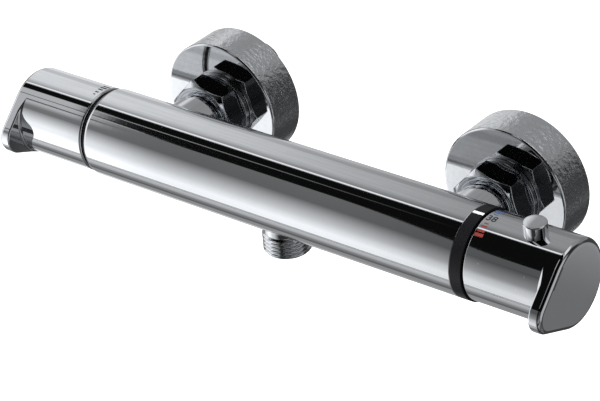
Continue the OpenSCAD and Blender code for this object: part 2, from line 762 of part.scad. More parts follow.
// Button carrier: a flanged tube on the hub, with the guide hole for the button's stem
module button_carrier() color("ivory") right_of(temp_x) difference() {
    union() {
        translate([0, 0, carrier_start]) cylinder(r = carrier_r, h = carrier_len);
        translate([0, 0, carrier_start + carrier_len - carrier_floor])
            cylinder(r = cavity_r - fit, h = carrier_floor);
    }
    translate([0, 0, carrier_start - over])
        cylinder(r = carrier_in_r, h = carrier_len - carrier_floor + over);
    cylinder(r = hub_r + fit, h = handle_len);
    rotate([0, 0, button_turn]) translate([0, 0, button_place]) rotate([0, 90, 0])
        cylinder(r = button_stem_r + run, h = handle_r);
}
module safety_button() color("silver") right_of(temp_x) rotate([0, 0, button_turn])
    translate([0, 0, button_place]) rotate([0, 90, 0]) union() {
        translate([0, 0, button_foot]) cylinder(r = button_stem_r, h = handle_r - button_foot);
        translate([0, 0, button_flange_foot]) cylinder(r = button_flange_r, h = button_flange_len);
        translate([0, 0, button_flange_foot])
            chamfered(button_r, handle_r + button_rise - button_flange_foot, button_edge);
    }
module button_spring() color("gray") right_of(temp_x) rotate([0, 0, button_turn])
    translate([carrier_r + seat, 0, button_place]) rotate([0, 90, 0])
        coil(button_stem_r + button_wire_r + clear, button_wire_r,
            button_flange_foot - carrier_r - 2 * seat, button_turns);

module flow_handle() color("silver") left_of(flow_x) rotate([0, 0, flow_turn]) difference() {
    handle_blank();
    grub_hole(under_flow);
}
module flow_insert() color("ivory") left_of(flow_x) insert_piece();
module flow_grub_screw() color("gray") left_of(flow_x) rotate([0, 0, flow_turn]) grub_screw(under_flow);

// Ceramic headwork: housing with windows, two discs, forked spindle, seal and circlip
module headwork_housing() color("goldenrod") difference() {
    union() {
        left_of(housing_start) cylinder(r = housing_r, h = housing_start - head_flange_x);
        left_of(head_flange_x) cylinder(r = head_flange_af / sqrt(3), h = head_flange_len, $fn = 6);
        left_of(head_flange_x) cylinder(r = housing_neck_r + min_wall * 2, h = head_flange_x - head_tip_x);
    }
    left_of(housing_start + over) cylinder(r = housing_bore_r - min_wall, h = min_wall + 2 * over);
    left_of(housing_start - min_wall) cylinder(r = housing_bore_r, h = housing_start - min_wall - neck_x);
    left_of(neck_x + over) cylinder(r = housing_neck_r, h = neck_x - head_tip_x + 2 * over);
    for (i = [0:1]) left_of(fork_x - clear) rotate([0, 0, 90 * i])
        translate([-head_r, -head_window_w / 2, 0])
            cube([2 * head_r, head_window_w, head_window_len - clear]);
    left_of(head_seal_x + groove_w / 2) difference() {
        cylinder(r = head_r + over, h = groove_w);
        cylinder(r = housing_r - 2 * o_ring_r + seat, h = groove_w);
    }
}
module headwork_o_ring() color("black") left_of(head_seal_x)
    ring_seal(housing_r - o_ring_r + 2 * seat, o_ring_r - seat);

// Disc with two facing sector ports
module disc_ports() translate([0, 0, -over]) for (i = [0, 1]) rotate([0, 0, 180 * i]) intersection() {
    tube(disc_r - min_wall, min_wall, disc_len + 2 * over);
    translate([0, 0, -over]) rotate([0, 0, -45]) cube([disc_d, disc_d, disc_len + 4 * over]);
}
module fixed_disc() color("whitesmoke") left_of(disc_x) difference() {
    cylinder(r = disc_r, h = disc_len);
    disc_ports();
}
module turning_disc() color("whitesmoke") left_of(disc_x - disc_len - seat) difference() {
    cylinder(r = disc_r, h = disc_len);
    rotate([0, 0, 90]) disc_ports();
}
module flow_spindle() color("goldenrod") difference() {
    union() {
        left_of(fork_x) cylinder(r = disc_r - clear, h = fork_len - clear);
        left_of(fork_x) cylinder(r = stem_r, h = fork_x - flow_x + spline_end);
    }
    left_of(circlip_x + seat) difference() {
        cylinder(r = stem_r + over, h = circlip_w + 2 * seat);
        cylinder(r = stem_r - circlip_groove, h = circlip_w + 2 * seat);
    }
}
module circlip() color("gray") left_of(circlip_x) difference() {
    tube(circlip_r, stem_r - circlip_groove + seat, circlip_w);
    translate([0, -stem_r / 2, -over]) cube([circlip_r + over, stem_r, circlip_w + 2 * over]);
}

body_shell();
index_ring();
glide_ring();
outlet_nipple();
outlet_o_ring();
inlet_tail(-1);  // inlet_tail_left
inlet_tail(1);  // inlet_tail_right
union_nut(-1);  // union_nut_left
union_nut(1);  // union_nut_right
union_washer(-1);  // union_washer_left
union_washer(1);  // union_washer_right
inlet_strainer(-1);  // inlet_strainer_left
inlet_strainer(1);  // inlet_strainer_right
check_housing(-1);  // check_housing_left
check_housing(1);  // check_housing_right
check_poppet(-1);  // check_poppet_left
check_poppet(1);  // check_poppet_right
check_spring(-1);  // check_spring_left
check_spring(1);  // check_spring_right
wall_connector(-1);  // wall_connector_left
wall_connector(1);  // wall_connector_right
rosette(-1);  // rosette_left
rosette(1);  // rosette_right
rosette_seal(-1);  // rosette_seal_left
rosette_seal(1);  // rosette_seal_right
cartridge_sleeve();
cartridge_o_rings();
regulating_piston();
wax_element();
return_spring();
overload_cup();
overload_spring();
temperature_spindle();
gland_nut();
stop_ring();
headwork_housing();
headwork_o_ring();
fixed_disc();
turning_disc();
flow_spindle();
circlip();
temp_handle();
temp_insert();
temp_grub_screw();
button_carrier();
safety_button();
button_spring();
flow_handle();
flow_insert();
flow_grub_screw();
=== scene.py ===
"""Looks of a wall-mounted thermostatic shower valve: a chromed bar with a grip-fin handle at each end.

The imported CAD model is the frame. The bright outer pieces are modelled again here with smooth, finely
rounded surfaces, because polished chrome shows every facet, and the inner pieces keep their CAD solids and
get a finish. All sizes in the classes are millimetres, in the frame of the CAD model: X runs along the bar,
the wall is the plane y = 0, and the bar's axis is at y = -60, z = 0. A profile's points are places along a
piece and distances from its axis.
"""

import functools
import logging
from dataclasses import dataclass
from enum import Enum
from math import acos, atan2, cos, degrees, dist, exp, log, pi, radians, remainder, sin, sqrt, tan, tau
from typing import Callable, ClassVar, Sequence

import bpy
from mathutils import Matrix, Vector


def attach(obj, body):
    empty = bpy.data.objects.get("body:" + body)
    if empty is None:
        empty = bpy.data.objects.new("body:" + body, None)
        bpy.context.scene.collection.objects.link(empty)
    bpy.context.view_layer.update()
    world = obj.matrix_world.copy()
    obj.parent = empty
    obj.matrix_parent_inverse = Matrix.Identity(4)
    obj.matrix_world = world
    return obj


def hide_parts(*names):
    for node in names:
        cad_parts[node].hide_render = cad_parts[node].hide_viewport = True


LOG = logging.getLogger("shower_valve")
MM = 0.001
WALL_TO_AXIS = 60.0
INLET_X = 75.0
NOTHING = 1e-6
WHITE = (1.0, 1.0, 1.0, 1.0)

Point = tuple[float, float]
Colour = tuple[float, float, float]
Piece = bpy.types.Object
Socket = bpy.types.NodeSocket
Group = bpy.types.NodeTree

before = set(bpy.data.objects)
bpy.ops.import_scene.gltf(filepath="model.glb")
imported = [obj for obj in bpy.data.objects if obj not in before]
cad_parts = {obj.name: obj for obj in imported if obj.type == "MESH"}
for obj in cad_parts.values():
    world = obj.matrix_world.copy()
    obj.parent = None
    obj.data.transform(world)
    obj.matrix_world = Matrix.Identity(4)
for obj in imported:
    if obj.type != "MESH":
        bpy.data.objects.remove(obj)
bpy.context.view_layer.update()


class Body(str, Enum):
    """The CAD bodies that the new pieces ride on."""

    VALVE = "valve"
    TEMPERATURE = "temperature_control"
    BUTTON = "stop_button"
    FLOW = "flow_control"


class Slot(str, Enum):
    """The record's material slots."""

    BODY = "body_chrome"
    HANDLE = "handle_chrome"
    NUT = "nut_chrome"
    ROSETTE = "rosette_chrome"
    CONNECTOR = "connector_chrome"
    OUTLET = "outlet_chrome"
    RING = "ring_black"
    BRASS = "brass"
    RUBBER = "rubber"
    PLASTIC = "white_plastic"
    CERAMIC = "ceramic"
    COPPER = "copper"
    SPRING = "spring_steel"


class Direction(Enum):
    """Where a piece's own Z axis points: along the bar, to the wall or down."""

    RIGHT = ("Y", 90.0)
    LEFT = ("Y", -90.0)
    WALL = ("X", -90.0)
    DOWN = ("X", 180.0)


def placed(direction: Direction, x: float, turn: float = 0.0) -> Matrix:
    """Gives the place of a piece that starts on the bar's axis at x, turned by degrees about its own Z."""
    axis, angle = direction.value
    return Matrix.Translation((x, -WALL_TO_AXIS, 0.0)) @ rotation(angle, axis) @ rotation(turn, "Z")


def rotation(angle: float, axis: str) -> Matrix:
    """Gives a turn about an axis, in degrees."""
    return Matrix.Rotation(radians(angle), 4, axis)


# Modelling by hand, with operators


def start_afresh() -> None:
    """Leaves edit mode and deselects everything."""
    if bpy.context.object is not None and bpy.context.object.mode != "OBJECT":
        bpy.ops.object.mode_set(mode="OBJECT")
    bpy.ops.object.select_all(action="DESELECT")


def pick(piece: Piece) -> None:
    """Selects one piece and makes it the active one.

    Args:
        piece: the piece to select.
    """
    start_afresh()
    piece.select_set(True)
    bpy.context.view_layer.objects.active = piece


def open_mesh() -> None:
    """Enters edit mode on the active piece, with everything selected."""
    bpy.ops.object.mode_set(mode="EDIT")
    bpy.ops.mesh.select_all(action="SELECT")


def close_up(piece: Piece, reach: float = 0.002) -> None:
    """Merges the doubles at a piece's seam and poles, and turns its faces outwards.

    Args:
        piece: the piece to close.
        reach: the distance, in millimetres, within which points are merged.
    """
    pick(piece)
    open_mesh()
    bpy.ops.mesh.remove_doubles(threshold=reach * MM)
    bpy.ops.mesh.normals_make_consistent(inside=False)
    bpy.ops.object.mode_set(mode="OBJECT")


def smooth(piece: Piece, angle: float = 32.0) -> None:
    """Shades a piece smooth, with its flats kept flat up to their edges.

    Args:
        piece: the piece to shade.
        angle: edges that turn more than this, in degrees, stay sharp.
    """
    pick(piece)
    bpy.ops.object.shade_smooth_by_angle(angle=radians(angle))
    modifier = piece.modifiers.new("even_flats", "WEIGHTED_NORMAL")
    modifier.keep_sharp = True
    modifier.weight = 60
    bpy.ops.object.modifier_apply(modifier=modifier.name)


def named(name: str) -> Piece:
    """Names the active object and its data.

    Args:
        name: the name for both.

    Returns:
        The object.
    """
    piece = bpy.context.active_object
    piece.name = piece.data.name = name
    return piece


def arc(centre: Point, radius: float, start: float, end: float, count: int) -> list[Point]:
    """Gives points on an arc, in count steps between two directions in degrees, 90 away from the axis."""
    angles = [radians(start + (end - start) * i / count) for i in range(count + 1)]
    return [(centre[0] + radius * cos(a), centre[1] + radius * sin(a)) for a in angles]


def bend(one: Point, corner: Point, two: Point, steps: int) -> list[Point]:
    """Gives points on a curve that rounds a corner between two points, in so many steps."""
    parts = [((1 - s) ** 2, 2 * s * (1 - s), s * s) for s in (k / steps for k in range(steps + 1))]
    return [(a * one[0] + b * corner[0] + c * two[0], a * one[1] + b * corner[1] + c * two[1])
            for a, b, c in parts]


def softened(profile: Sequence[Point], size: float, steps: int = 3) -> list[Point]:
    """Rounds the sharp corners of a closed profile, as a polishing wheel does.

    Args:
        profile: the corners, in order, the first one not repeated.
        size: how much of each side a rounding takes at most.
        steps: the number of steps of one rounding.

    Returns:
        The profile's points, with the first one repeated at the end.
    """
    points: list[Point] = []
    for i, corner in enumerate(profile):
        ends = [profile[i - 1], profile[(i + 1) % len(profile)]]
        reach = min(size, *(0.4 * dist(corner, end) for end in ends))
        if corner[1] < NOTHING or reach < NOTHING:
            points.append(corner)
        else:
            one, two = (towards(corner, end, reach) for end in ends)
            points += bend(one, corner, two, steps)
    return points + [points[0]]


def towards(start: Point, end: Point, way: float) -> Point:
    """Gives the point that lies a way from start towards end."""
    side = dist(start, end)
    return start[0] + (end[0] - start[0]) * way / side, start[1] + (end[1] - start[1]) * way / side


def turned(name: str, profile: Sequence[Point], place: Matrix, steps: int = 192) -> Piece:
    """Turns a piece as on a lathe: traces its profile by extruding one point, and spins it.

    Args:
        name: the piece's name.
        profile: the points. Its two ends meet, or both lie on the axis.
        place: the matrix of the piece's place.
        steps: the number of steps round the piece.

    Returns:
        The closed piece.
    """
    points = [place @ Vector((r, 0.0, z)) * MM for z, r in profile]
    start_afresh()
    bpy.ops.mesh.primitive_plane_add(size=1.0)
    piece = named(name)
    open_mesh()
    bpy.ops.mesh.merge(type="CENTER")
    bpy.ops.transform.translate(value=points[0])
    for one, two in zip(points, points[1:]):
        bpy.ops.mesh.extrude_region_move(TRANSFORM_OT_translate={"value": two - one})
    bpy.ops.mesh.select_all(action="SELECT")
    centre, axis = place @ Vector((0.0, 0.0, 0.0)) * MM, place.to_3x3() @ Vector((0.0, 0.0, 1.0))
    bpy.ops.mesh.spin(steps=steps, angle=tau, center=centre, axis=axis)
    bpy.ops.object.mode_set(mode="OBJECT")
    close_up(piece)
    return piece


def rolled(name: str, columns: Sequence[Sequence[Point]], angles: Sequence[float], place: Matrix) -> Piece:
    """Rolls a grid round an axis and moves each column of its points onto a profile of its own.

    A spin makes only round pieces, so the pieces with a fin, flats or a thread are made this way.

    Args:
        name: the piece's name.
        columns: one profile for each angle, all with the same number of points.
        angles: the columns' angles in degrees, from 0 up to less than 360.
        place: the matrix of the piece's place.

    Returns:
        The closed piece.
    """
    rows = len(columns[0])
    start_afresh()
    bpy.ops.mesh.primitive_grid_add(x_subdivisions=len(columns), y_subdivisions=rows - 1, size=1.0)
    piece = named(name)
    for vertex in piece.data.vertices:
        column = round((vertex.co.x + 0.5) * len(columns)) % len(columns)
        z, r = columns[column][round((vertex.co.y + 0.5) * (rows - 1))]
        a = radians(angles[column])
        vertex.co = place @ Vector((r * cos(a), r * sin(a), z)) * MM
    close_up(piece)
    return piece


def joined(pieces: Sequence[Piece]) -> Piece:
    """Joins pieces into one.

    Args:
        pieces: the pieces, with the one that stays first.

    Returns:
        The first piece.
    """
    pick(pieces[0])
    for piece in pieces[1:]:
        piece.select_set(True)
    bpy.ops.object.join()
    return pieces[0]


# Node trees, and the node groups that several finishes share


@dataclass
class Tree:
    """A node tree that is wired with short calls."""

    tree: Group

    def node(self, kind: str, settings: dict[str, object] | None = None, **inputs: object) -> bpy.types.Node:
        """Adds a node.

        Args:
            kind: the node's type.
            settings: its properties.
            inputs: its inputs by name, where _ stands for a space, and i0, i1, i2 for inputs by number. An
                output socket is linked, and anything else is set as the input's value.

        Returns:
            The new node.
        """
        made = self.tree.nodes.new(kind)
        for key, value in (settings or {}).items():
            setattr(made, key, value)
        for key, value in inputs.items():
            numbered = key[0] == "i" and key[1:].isdigit()
            socket = made.inputs[int(key[1:]) if numbered else key.replace("_", " ")]
            if isinstance(value, Socket):
                self.tree.links.new(value, socket)
            else:
                socket.default_value = value
        return made

    def put(self, value: Socket, name: str, node: str = "Principled BSDF") -> None:
        """Links a value to an input of a node, of the surface's shader unless another one is named."""
        self.tree.links.new(value, self.tree.nodes[node].inputs[name])

    def math(self, operation: str, *values: object) -> Socket:
        """Adds a Math node on up to three values, and returns its output."""
        inputs = {f"i{i}": value for i, value in enumerate(values)}
        return self.node("ShaderNodeMath", {"operation": operation}, **inputs).outputs[0]

    def times(self, *values: object) -> Socket:
        """Multiplies two or more values, and returns the product."""
        return functools.reduce(lambda one, two: self.math("MULTIPLY", one, two), values)

    def plus(self, one: object, two: object) -> Socket:
        """Adds two values, and returns the sum."""
        return self.math("ADD", one, two)

    def minus(self, one: object, two: object) -> Socket:
        """Subtracts two from one, and returns the difference."""
        return self.math("SUBTRACT", one, two)

    def near(self, value: Socket, middle: float, reach: float) -> Socket:
        """Gives 1 within reach of the middle, and 0 elsewhere."""
        return self.math("COMPARE", value, middle, reach)

    def mix(self, share: Socket, one: object, two: object) -> Socket:
        """Mixes two numbers, with share as the second one's part, and returns the output."""
        return self.node("ShaderNodeMix", i0=share, i2=one, i3=two).outputs[0]

    def band(self, value: Socket, start: float, end: float, low: float = 0.0, high: float = 1.0) -> Socket:
        """Maps a value smoothly from the range start to end onto low to high, and returns the output."""
        return self.node("ShaderNodeMapRange", {"interpolation_type": "SMOOTHSTEP"}, Value=value,
                         From_Min=start, From_Max=end, To_Min=low, To_Max=high).outputs["Result"]

    def window(self, value: Socket, rise: Point, fall: Point) -> Socket:
        """Rises smoothly from 0 to 1 over one range and falls over another, and returns the output."""
        return self.times(self.band(value, *rise), self.band(value, *fall, 1.0, 0.0))

    def noise(self, place: Socket, scale: object, detail: float = 2.0, roughness: float = 0.5) -> Socket:
        """Adds a noise pattern, and returns its value."""
        return self.node("ShaderNodeTexNoise", Vector=place, Scale=scale, Detail=detail,
                         Roughness=roughness).outputs["Fac"]

    def toned(self, tint: Colour, tone: Socket) -> Socket:
        """Makes a colour lighter or darker by a tone, and returns the output."""
        red, green, blue = (self.times(tone, part) for part in tint)
        return self.node("ShaderNodeCombineColor", Red=red, Green=green, Blue=blue).outputs[0]

    def effect(self, group: Group, **inputs: object) -> bpy.types.NodeOutputs:
        """Places a shared effect with its own values, and returns its outputs."""
        return self.node("ShaderNodeGroup", {"node_tree": group}, **inputs).outputs

    def bump(self, height: Socket, strength: float, distance: float) -> None:
        """Gives the material's surface a relief."""
        bump = self.node("ShaderNodeBump", Strength=strength, Distance=distance, Height=height)
        self.put(bump.outputs["Normal"], "Normal")


def new_group(name: str, inputs: dict[str, float],
              outputs: Sequence[str]) -> tuple[Tree, bpy.types.NodeOutputs]:
    """Starts a shader node group of numbers that vary with a place.

    Args:
        name: the group's name.
        inputs: names and default values of its number inputs, beside its coordinate input, Place.
        outputs: names of its number outputs.

    Returns:
        The group's tree, and its inputs' sockets.
    """
    group = bpy.data.node_groups.new(name, "ShaderNodeTree")
    face = group.interface
    face.new_socket(name="Place", in_out="INPUT", socket_type="NodeSocketVector")
    for label, value in inputs.items():
        face.new_socket(name=label, in_out="INPUT", socket_type="NodeSocketFloat").default_value = value
    for label in outputs:
        face.new_socket(name=label, in_out="OUTPUT", socket_type="NodeSocketFloat")
    source = group.nodes.new("NodeGroupInput")
    group.nodes.new("NodeGroupOutput").name = "Out"
    return Tree(group), source.outputs


def make_scratches() -> Group:
    """Builds the group of fine wiping marks: a mask and a height, in two crossing directions.

    Returns:
        The group.
    """
    tree, source = new_group("fine_scratches", {"Scale": 900.0, "Amount": 0.5}, ["Mask", "Height"])
    masks = []
    for turn, stretch in ((0.5, 26.0), (2.1, 34.0)):
        spun = tree.node("ShaderNodeMapping", Vector=source["Place"],
                         Rotation=(0.4 * turn, turn, 1.7 * turn), Scale=(1.0, 1.0, 1.0 / stretch))
        masks.append(tree.band(tree.noise(spun.outputs[0], source["Scale"], 1.0), 0.66, 0.74))
    patches = tree.band(tree.noise(source["Place"], 70.0, 2.0), 0.45, 0.7)
    mask = tree.times(tree.math("MAXIMUM", *masks), patches, source["Amount"])
    tree.put(mask, "Mask", "Out")
    tree.put(tree.times(mask, -1.0), "Height", "Out")
    return tree.tree


def make_dust() -> Group:
    """Builds the group of dust and water specks: a mask of small sparse dots.

    Returns:
        The group.
    """
    tree, source = new_group("dust_specks", {"Scale": 420.0, "Amount": 0.5}, ["Mask"])
    cells = tree.node("ShaderNodeTexVoronoi", Vector=source["Place"], Scale=source["Scale"]).outputs
    shade = tree.node("ShaderNodeSeparateColor", Color=cells["Color"]).outputs[0]
    dots = tree.band(cells["Distance"], 0.16, 0.06)
    tree.put(tree.times(dots, tree.band(shade, 0.93, 0.95), source["Amount"]), "Mask", "Out")
    return tree.tree


def make_ripple() -> Group:
    """Builds the group of what casting and polishing leave: soft waves and a fine peel, as a height.

    Returns:
        The group.
    """
    inputs = {"Scale": 60.0, "Amount": 1.0, "Peel Scale": 700.0, "Peel": 0.1}
    tree, source = new_group("polish_ripple", inputs, ["Height"])
    waves = tree.times(tree.noise(source["Place"], source["Scale"], 1.5), source["Amount"])
    peel = tree.times(tree.noise(source["Place"], source["Peel Scale"], 1.0), source["Peel"])
    tree.put(tree.plus(waves, peel), "Height", "Out")
    return tree.tree


def make_mottle() -> Group:
    """Builds the group of uneven tone in a plain surface: a value around one.

    Returns:
        The group.
    """
    tree, source = new_group("uneven_tone", {"Scale": 300.0, "Depth": 0.1}, ["Value"])
    fine = tree.noise(source["Place"], source["Scale"], 4.0, 0.6)
    tree.put(tree.plus(tree.times(tree.minus(fine, 0.5), source["Depth"]), 1.0), "Value", "Out")
    return tree.tree


@dataclass(frozen=True)
class Effects:
    """The node groups that the finishes share."""

    scratches: Group
    dust: Group
    ripple: Group
    mottle: Group


@dataclass(frozen=True)
class Chrome:
    """Bright nickel and chromium plating on brass.

    ripple and peel are the heights of the polishing waves and of the fine peel in millimetres, scratch and
    dust the share of marks, and blur the gloss's width. side_grain is the height of a coarser grain on the
    sides that don't face the front.
    """

    name: str
    tint: Colour = (0.80, 0.81, 0.825)
    blur: float = 0.045
    ripple: float = 0.008
    peel: float = 0.0012
    scratch: float = 0.35
    dust: float = 0.5
    grain: float = 140.0
    tone: float = 0.06
    side_grain: float = 0.0

    def make(self, effects: Effects) -> bpy.types.Material:
        """Builds the material.

        Args:
            effects: the shared node groups.

        Returns:
            The material.
        """
        material, tree, shader, place = start_material(self.name)
        shader["Metallic"].default_value = 1.0
        marks = tree.effect(effects.scratches, Place=place, Scale=1300.0, Amount=self.scratch)
        specks = tree.effect(effects.dust, Place=place, Scale=330.0, Amount=self.dust)["Mask"]
        waves = tree.effect(effects.ripple, Place=place, Scale=55.0, Amount=self.ripple, Peel_Scale=620.0,
                            Peel=self.peel)
        tone = tree.effect(effects.mottle, Place=place, Scale=self.grain, Depth=self.tone)["Value"]
        dusty = tree.node("ShaderNodeMix", {"data_type": "RGBA"}, i0=specks, i6=tree.toned(self.tint, tone),
                          i7=(0.86, 0.87, 0.88, 1.0))
        tree.put(dusty.outputs[2], "Base Color")
        rough = tree.plus(tree.times(marks["Mask"], 0.12), self.blur)
        tree.put(tree.plus(rough, tree.times(specks, 0.5)), "Roughness")
        height = tree.plus(tree.times(marks["Height"], 0.002), waves["Height"])
        if self.side_grain:
            normal = tree.node("ShaderNodeNewGeometry").outputs["True Normal"]
            facing = tree.math("ABSOLUTE", tree.node("ShaderNodeSeparateXYZ", Vector=normal).outputs[1])
            pits = tree.times(tree.noise(place, 380.0, 4.0, 0.6), tree.band(facing, 0.2, 0.5, 1.0, 0.0))
            height = tree.plus(height, tree.times(pits, self.side_grain))
        tree.bump(height, 1.0, 0.001)
        return material


@dataclass(frozen=True)
class Matter:
    """A plain material with its own grain: plastic, rubber, brass, copper, ceramic, steel or printing ink.

    grain is the size of its pattern per metre, relief the pattern's height in millimetres, and tone its
    unevenness.
    """

    name: str
    tint: Colour
    blur: float
    metal: float = 0.0
    grain: float = 2500.0
    relief: float = 0.01
    tone: float = 0.12
    shine: float = 0.5

    def make(self, effects: Effects) -> bpy.types.Material:
        """Builds the material.

        Args:
            effects: the shared node groups.

        Returns:
            The material.
        """
        material, tree, shader, place = start_material(self.name)
        shader["Metallic"].default_value = self.metal
        shader["Specular IOR Level"].default_value = self.shine
        tone = tree.effect(effects.mottle, Place=place, Scale=self.grain / 4.0, Depth=self.tone)["Value"]
        marks = tree.effect(effects.scratches, Place=place, Scale=1100.0, Amount=0.6)
        tree.put(tree.toned(self.tint, tone), "Base Color")
        rough = tree.plus(tree.times(tone, self.blur), tree.times(marks["Mask"], 0.15))
        tree.put(rough, "Roughness")
        grain = tree.times(tree.noise(place, self.grain, 2.0), self.relief)
        tree.bump(tree.plus(grain, marks["Height"]), 0.6, 0.00005)
        return material


def start_material(name: str) -> tuple[bpy.types.Material, Tree, bpy.types.NodeInputs, Socket]:
    """Starts a material.

    Args:
        name: the material's name.

    Returns:
        The material, its tree, its shader's inputs and the socket of its Object coordinates.
    """
    material = bpy.data.materials.new(name)
    material.use_nodes = True
    tree = Tree(material.node_tree)
    place = tree.node("ShaderNodeTexCoord").outputs["Object"]
    return material, tree, material.node_tree.nodes["Principled BSDF"].inputs, place


class Finishes:
    """All finishes of the valve, each made once."""

    def __init__(self) -> None:
        """Builds the shared effects and every material."""
        effects = Effects(make_scratches(), make_dust(), make_ripple(), make_mottle())
        wanted: list[Chrome | Matter] = [
            Chrome("body_chrome"),
            Chrome("handle_chrome", ripple=0.005),
            Chrome("nut_chrome", (0.75, 0.77, 0.80), 0.035, 0.003, 0.0002, scratch=0.0, dust=0.0),
            Chrome("rosette_chrome", ripple=0.006, peel=0.004, dust=0.7, grain=520.0, tone=0.2,
                   side_grain=0.42),
            Chrome("connector_chrome", (0.58, 0.59, 0.61), 0.2, 0.02, 0.01, scratch=0.8),
            Chrome("outlet_chrome", (0.76, 0.77, 0.78), 0.08, 0.012),
            Matter("ring_black", (0.006, 0.006, 0.007), 0.34, relief=0.02, shine=0.2),
            Matter("glide_black", (0.006, 0.006, 0.007), 0.4, relief=0.02, shine=0.2),
            Matter("ink_dark", (0.02, 0.021, 0.024), 0.5, grain=5000.0, tone=0.3),
            Matter("ink_red", (0.19, 0.022, 0.016), 0.45, grain=5000.0, tone=0.3),
            Matter("ink_blue", (0.06, 0.12, 0.30), 0.45, grain=5000.0, tone=0.3),
            Matter("ink_white", (0.88, 0.88, 0.88), 0.4, grain=5000.0, tone=0.1),
            Matter("brass", (0.72, 0.50, 0.21), 0.26, metal=1.0, relief=0.03),
            Matter("rubber", (0.018, 0.018, 0.019), 0.62, relief=0.05),
            Matter("white_plastic", (0.74, 0.73, 0.69), 0.38),
            Matter("ceramic", (0.83, 0.82, 0.79), 0.12, relief=0.005),
            Matter("copper", (0.66, 0.31, 0.18), 0.3, metal=1.0, relief=0.03),
            Matter("spring_steel", (0.52, 0.53, 0.55), 0.24, metal=1.0, relief=0.03),
        ]
        self.made = {finish.name: finish.make(effects) for finish in wanted}

    def dress(self, piece: Piece, name: str) -> None:
        """Gives a piece one finish all over.

        Args:
            piece: a new piece or a CAD node's object.
            name: the finish's name.
        """
        slots = piece.data.materials
        if not slots:
            slots.append(None)
        for i in range(len(slots)):
            slots[i] = self.made[name]


@dataclass
class Assembly:
    """A sub-assembly of the valve. Each one builds its pieces and dresses them."""

    finishes: Finishes

    def fit(self, piece: Piece, body: Body, slot: Slot | None, instead_of: Sequence[str] = (),
            finish: str = "") -> None:
        """Dresses a finished piece and puts it on its body.

        Args:
            piece: the piece, in place.
            body: the CAD body that it rides on.
            slot: the record's slot that its finish is taken from, if one fits.
            instead_of: the CAD nodes that it stands for.
            finish: its finish, where it hasn't the slot's own.
        """
        self.finishes.dress(piece, finish or slot.value)
        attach(piece, body.value)
        if instead_of:
            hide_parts(*instead_of)
        LOG.info("%s: %d faces, on %s", piece.name, len(piece.data.polygons), body.value)


@dataclass
class BarBody(Assembly):
    """The chromed bar with its two inlet stubs, and the two rings at its ends."""

    radius: float = 19.35
    left_end: float = 102.8
    right_end: float = 90.5
    shoulder: float = 2.6
    edge: float = 0.4
    cartridge_bore: float = 14.5
    cartridge_end: float = 25.0
    headwork_bore: float = 11.0
    headwork_end: float = -62.0
    middle_bore: float = 9.0
    stub_start: float = 12.0
    stub_radius: float = 12.2
    stub_end: float = 25.6
    ring: Point = (90.55, 95.75)
    ring_bore: float = 14.8
    glide: Point = (-102.85, -103.8)
    glide_bore: float = 12.0
    glide_radius: float = 17.8

    def build(self) -> None:
        """Builds the bar, its stubs and its rings."""
        left, right, r = -self.left_end, self.right_end, self.radius
        outside = arc((left + self.shoulder, r - self.shoulder), self.shoulder, 180.0, 90.0, 12)
        end = arc((right - self.edge, r - self.edge), self.edge, 90.0, 0.0, 4)
        middle = [(-60.0 + 30.0 * i, r) for i in range(5)]
        profile = [(left, self.headwork_bore), *outside, *middle, *end, (right, self.cartridge_bore),
                   (self.cartridge_end, self.cartridge_bore), (self.cartridge_end, self.middle_bore),
                   (self.headwork_end, self.middle_bore), (self.headwork_end, self.headwork_bore),
                   (left, self.headwork_bore)]
        bar = turned("bar_body", profile, placed(Direction.RIGHT, 0.0), 256)
        stubs = [self.stub(f"stub_{side}", side * INLET_X) for side in (-1, 1)]
        bar = joined([bar, *stubs])
        smooth(bar)
        self.fit(bar, Body.VALVE, Slot.BODY, ["body_shell"])
        self.build_rings()

    def stub(self, name: str, x: float) -> Piece:
        """Turns one inlet stub, which comes out of the bar's back.

        Args:
            name: the piece's name.
            x: its place along the bar.

        Returns:
            The stub.
        """
        start, stop, r = self.stub_start, self.stub_end, self.stub_radius
        end = arc((stop - self.edge, r - self.edge), self.edge, 90.0, 0.0, 4)
        profile = [(start, 0.0), (start, r), (start + 6.0, r), *end, (stop, 0.0)]
        return turned(name, profile, placed(Direction.WALL, x), 128)

    def build_rings(self) -> None:
        """Builds the black index ring, and the ring that the flow handle glides on."""
        for name, node, (one, two), bore, radius, size, steps, finish in (
                ("index_ring_black", "index_ring", self.ring, self.ring_bore, self.radius, 0.2, 224, ""),
                ("glide_ring_black", "glide_ring", self.glide, self.glide_bore, self.glide_radius, 0.15, 192,
                 "glide_black")):
            profile = softened([(one, bore), (one, radius), (two, radius), (two, bore)], size)
            ring = turned(name, profile, placed(Direction.RIGHT, 0.0), steps)
            smooth(ring)
            self.fit(ring, Body.VALVE, Slot.RING, [node], finish)


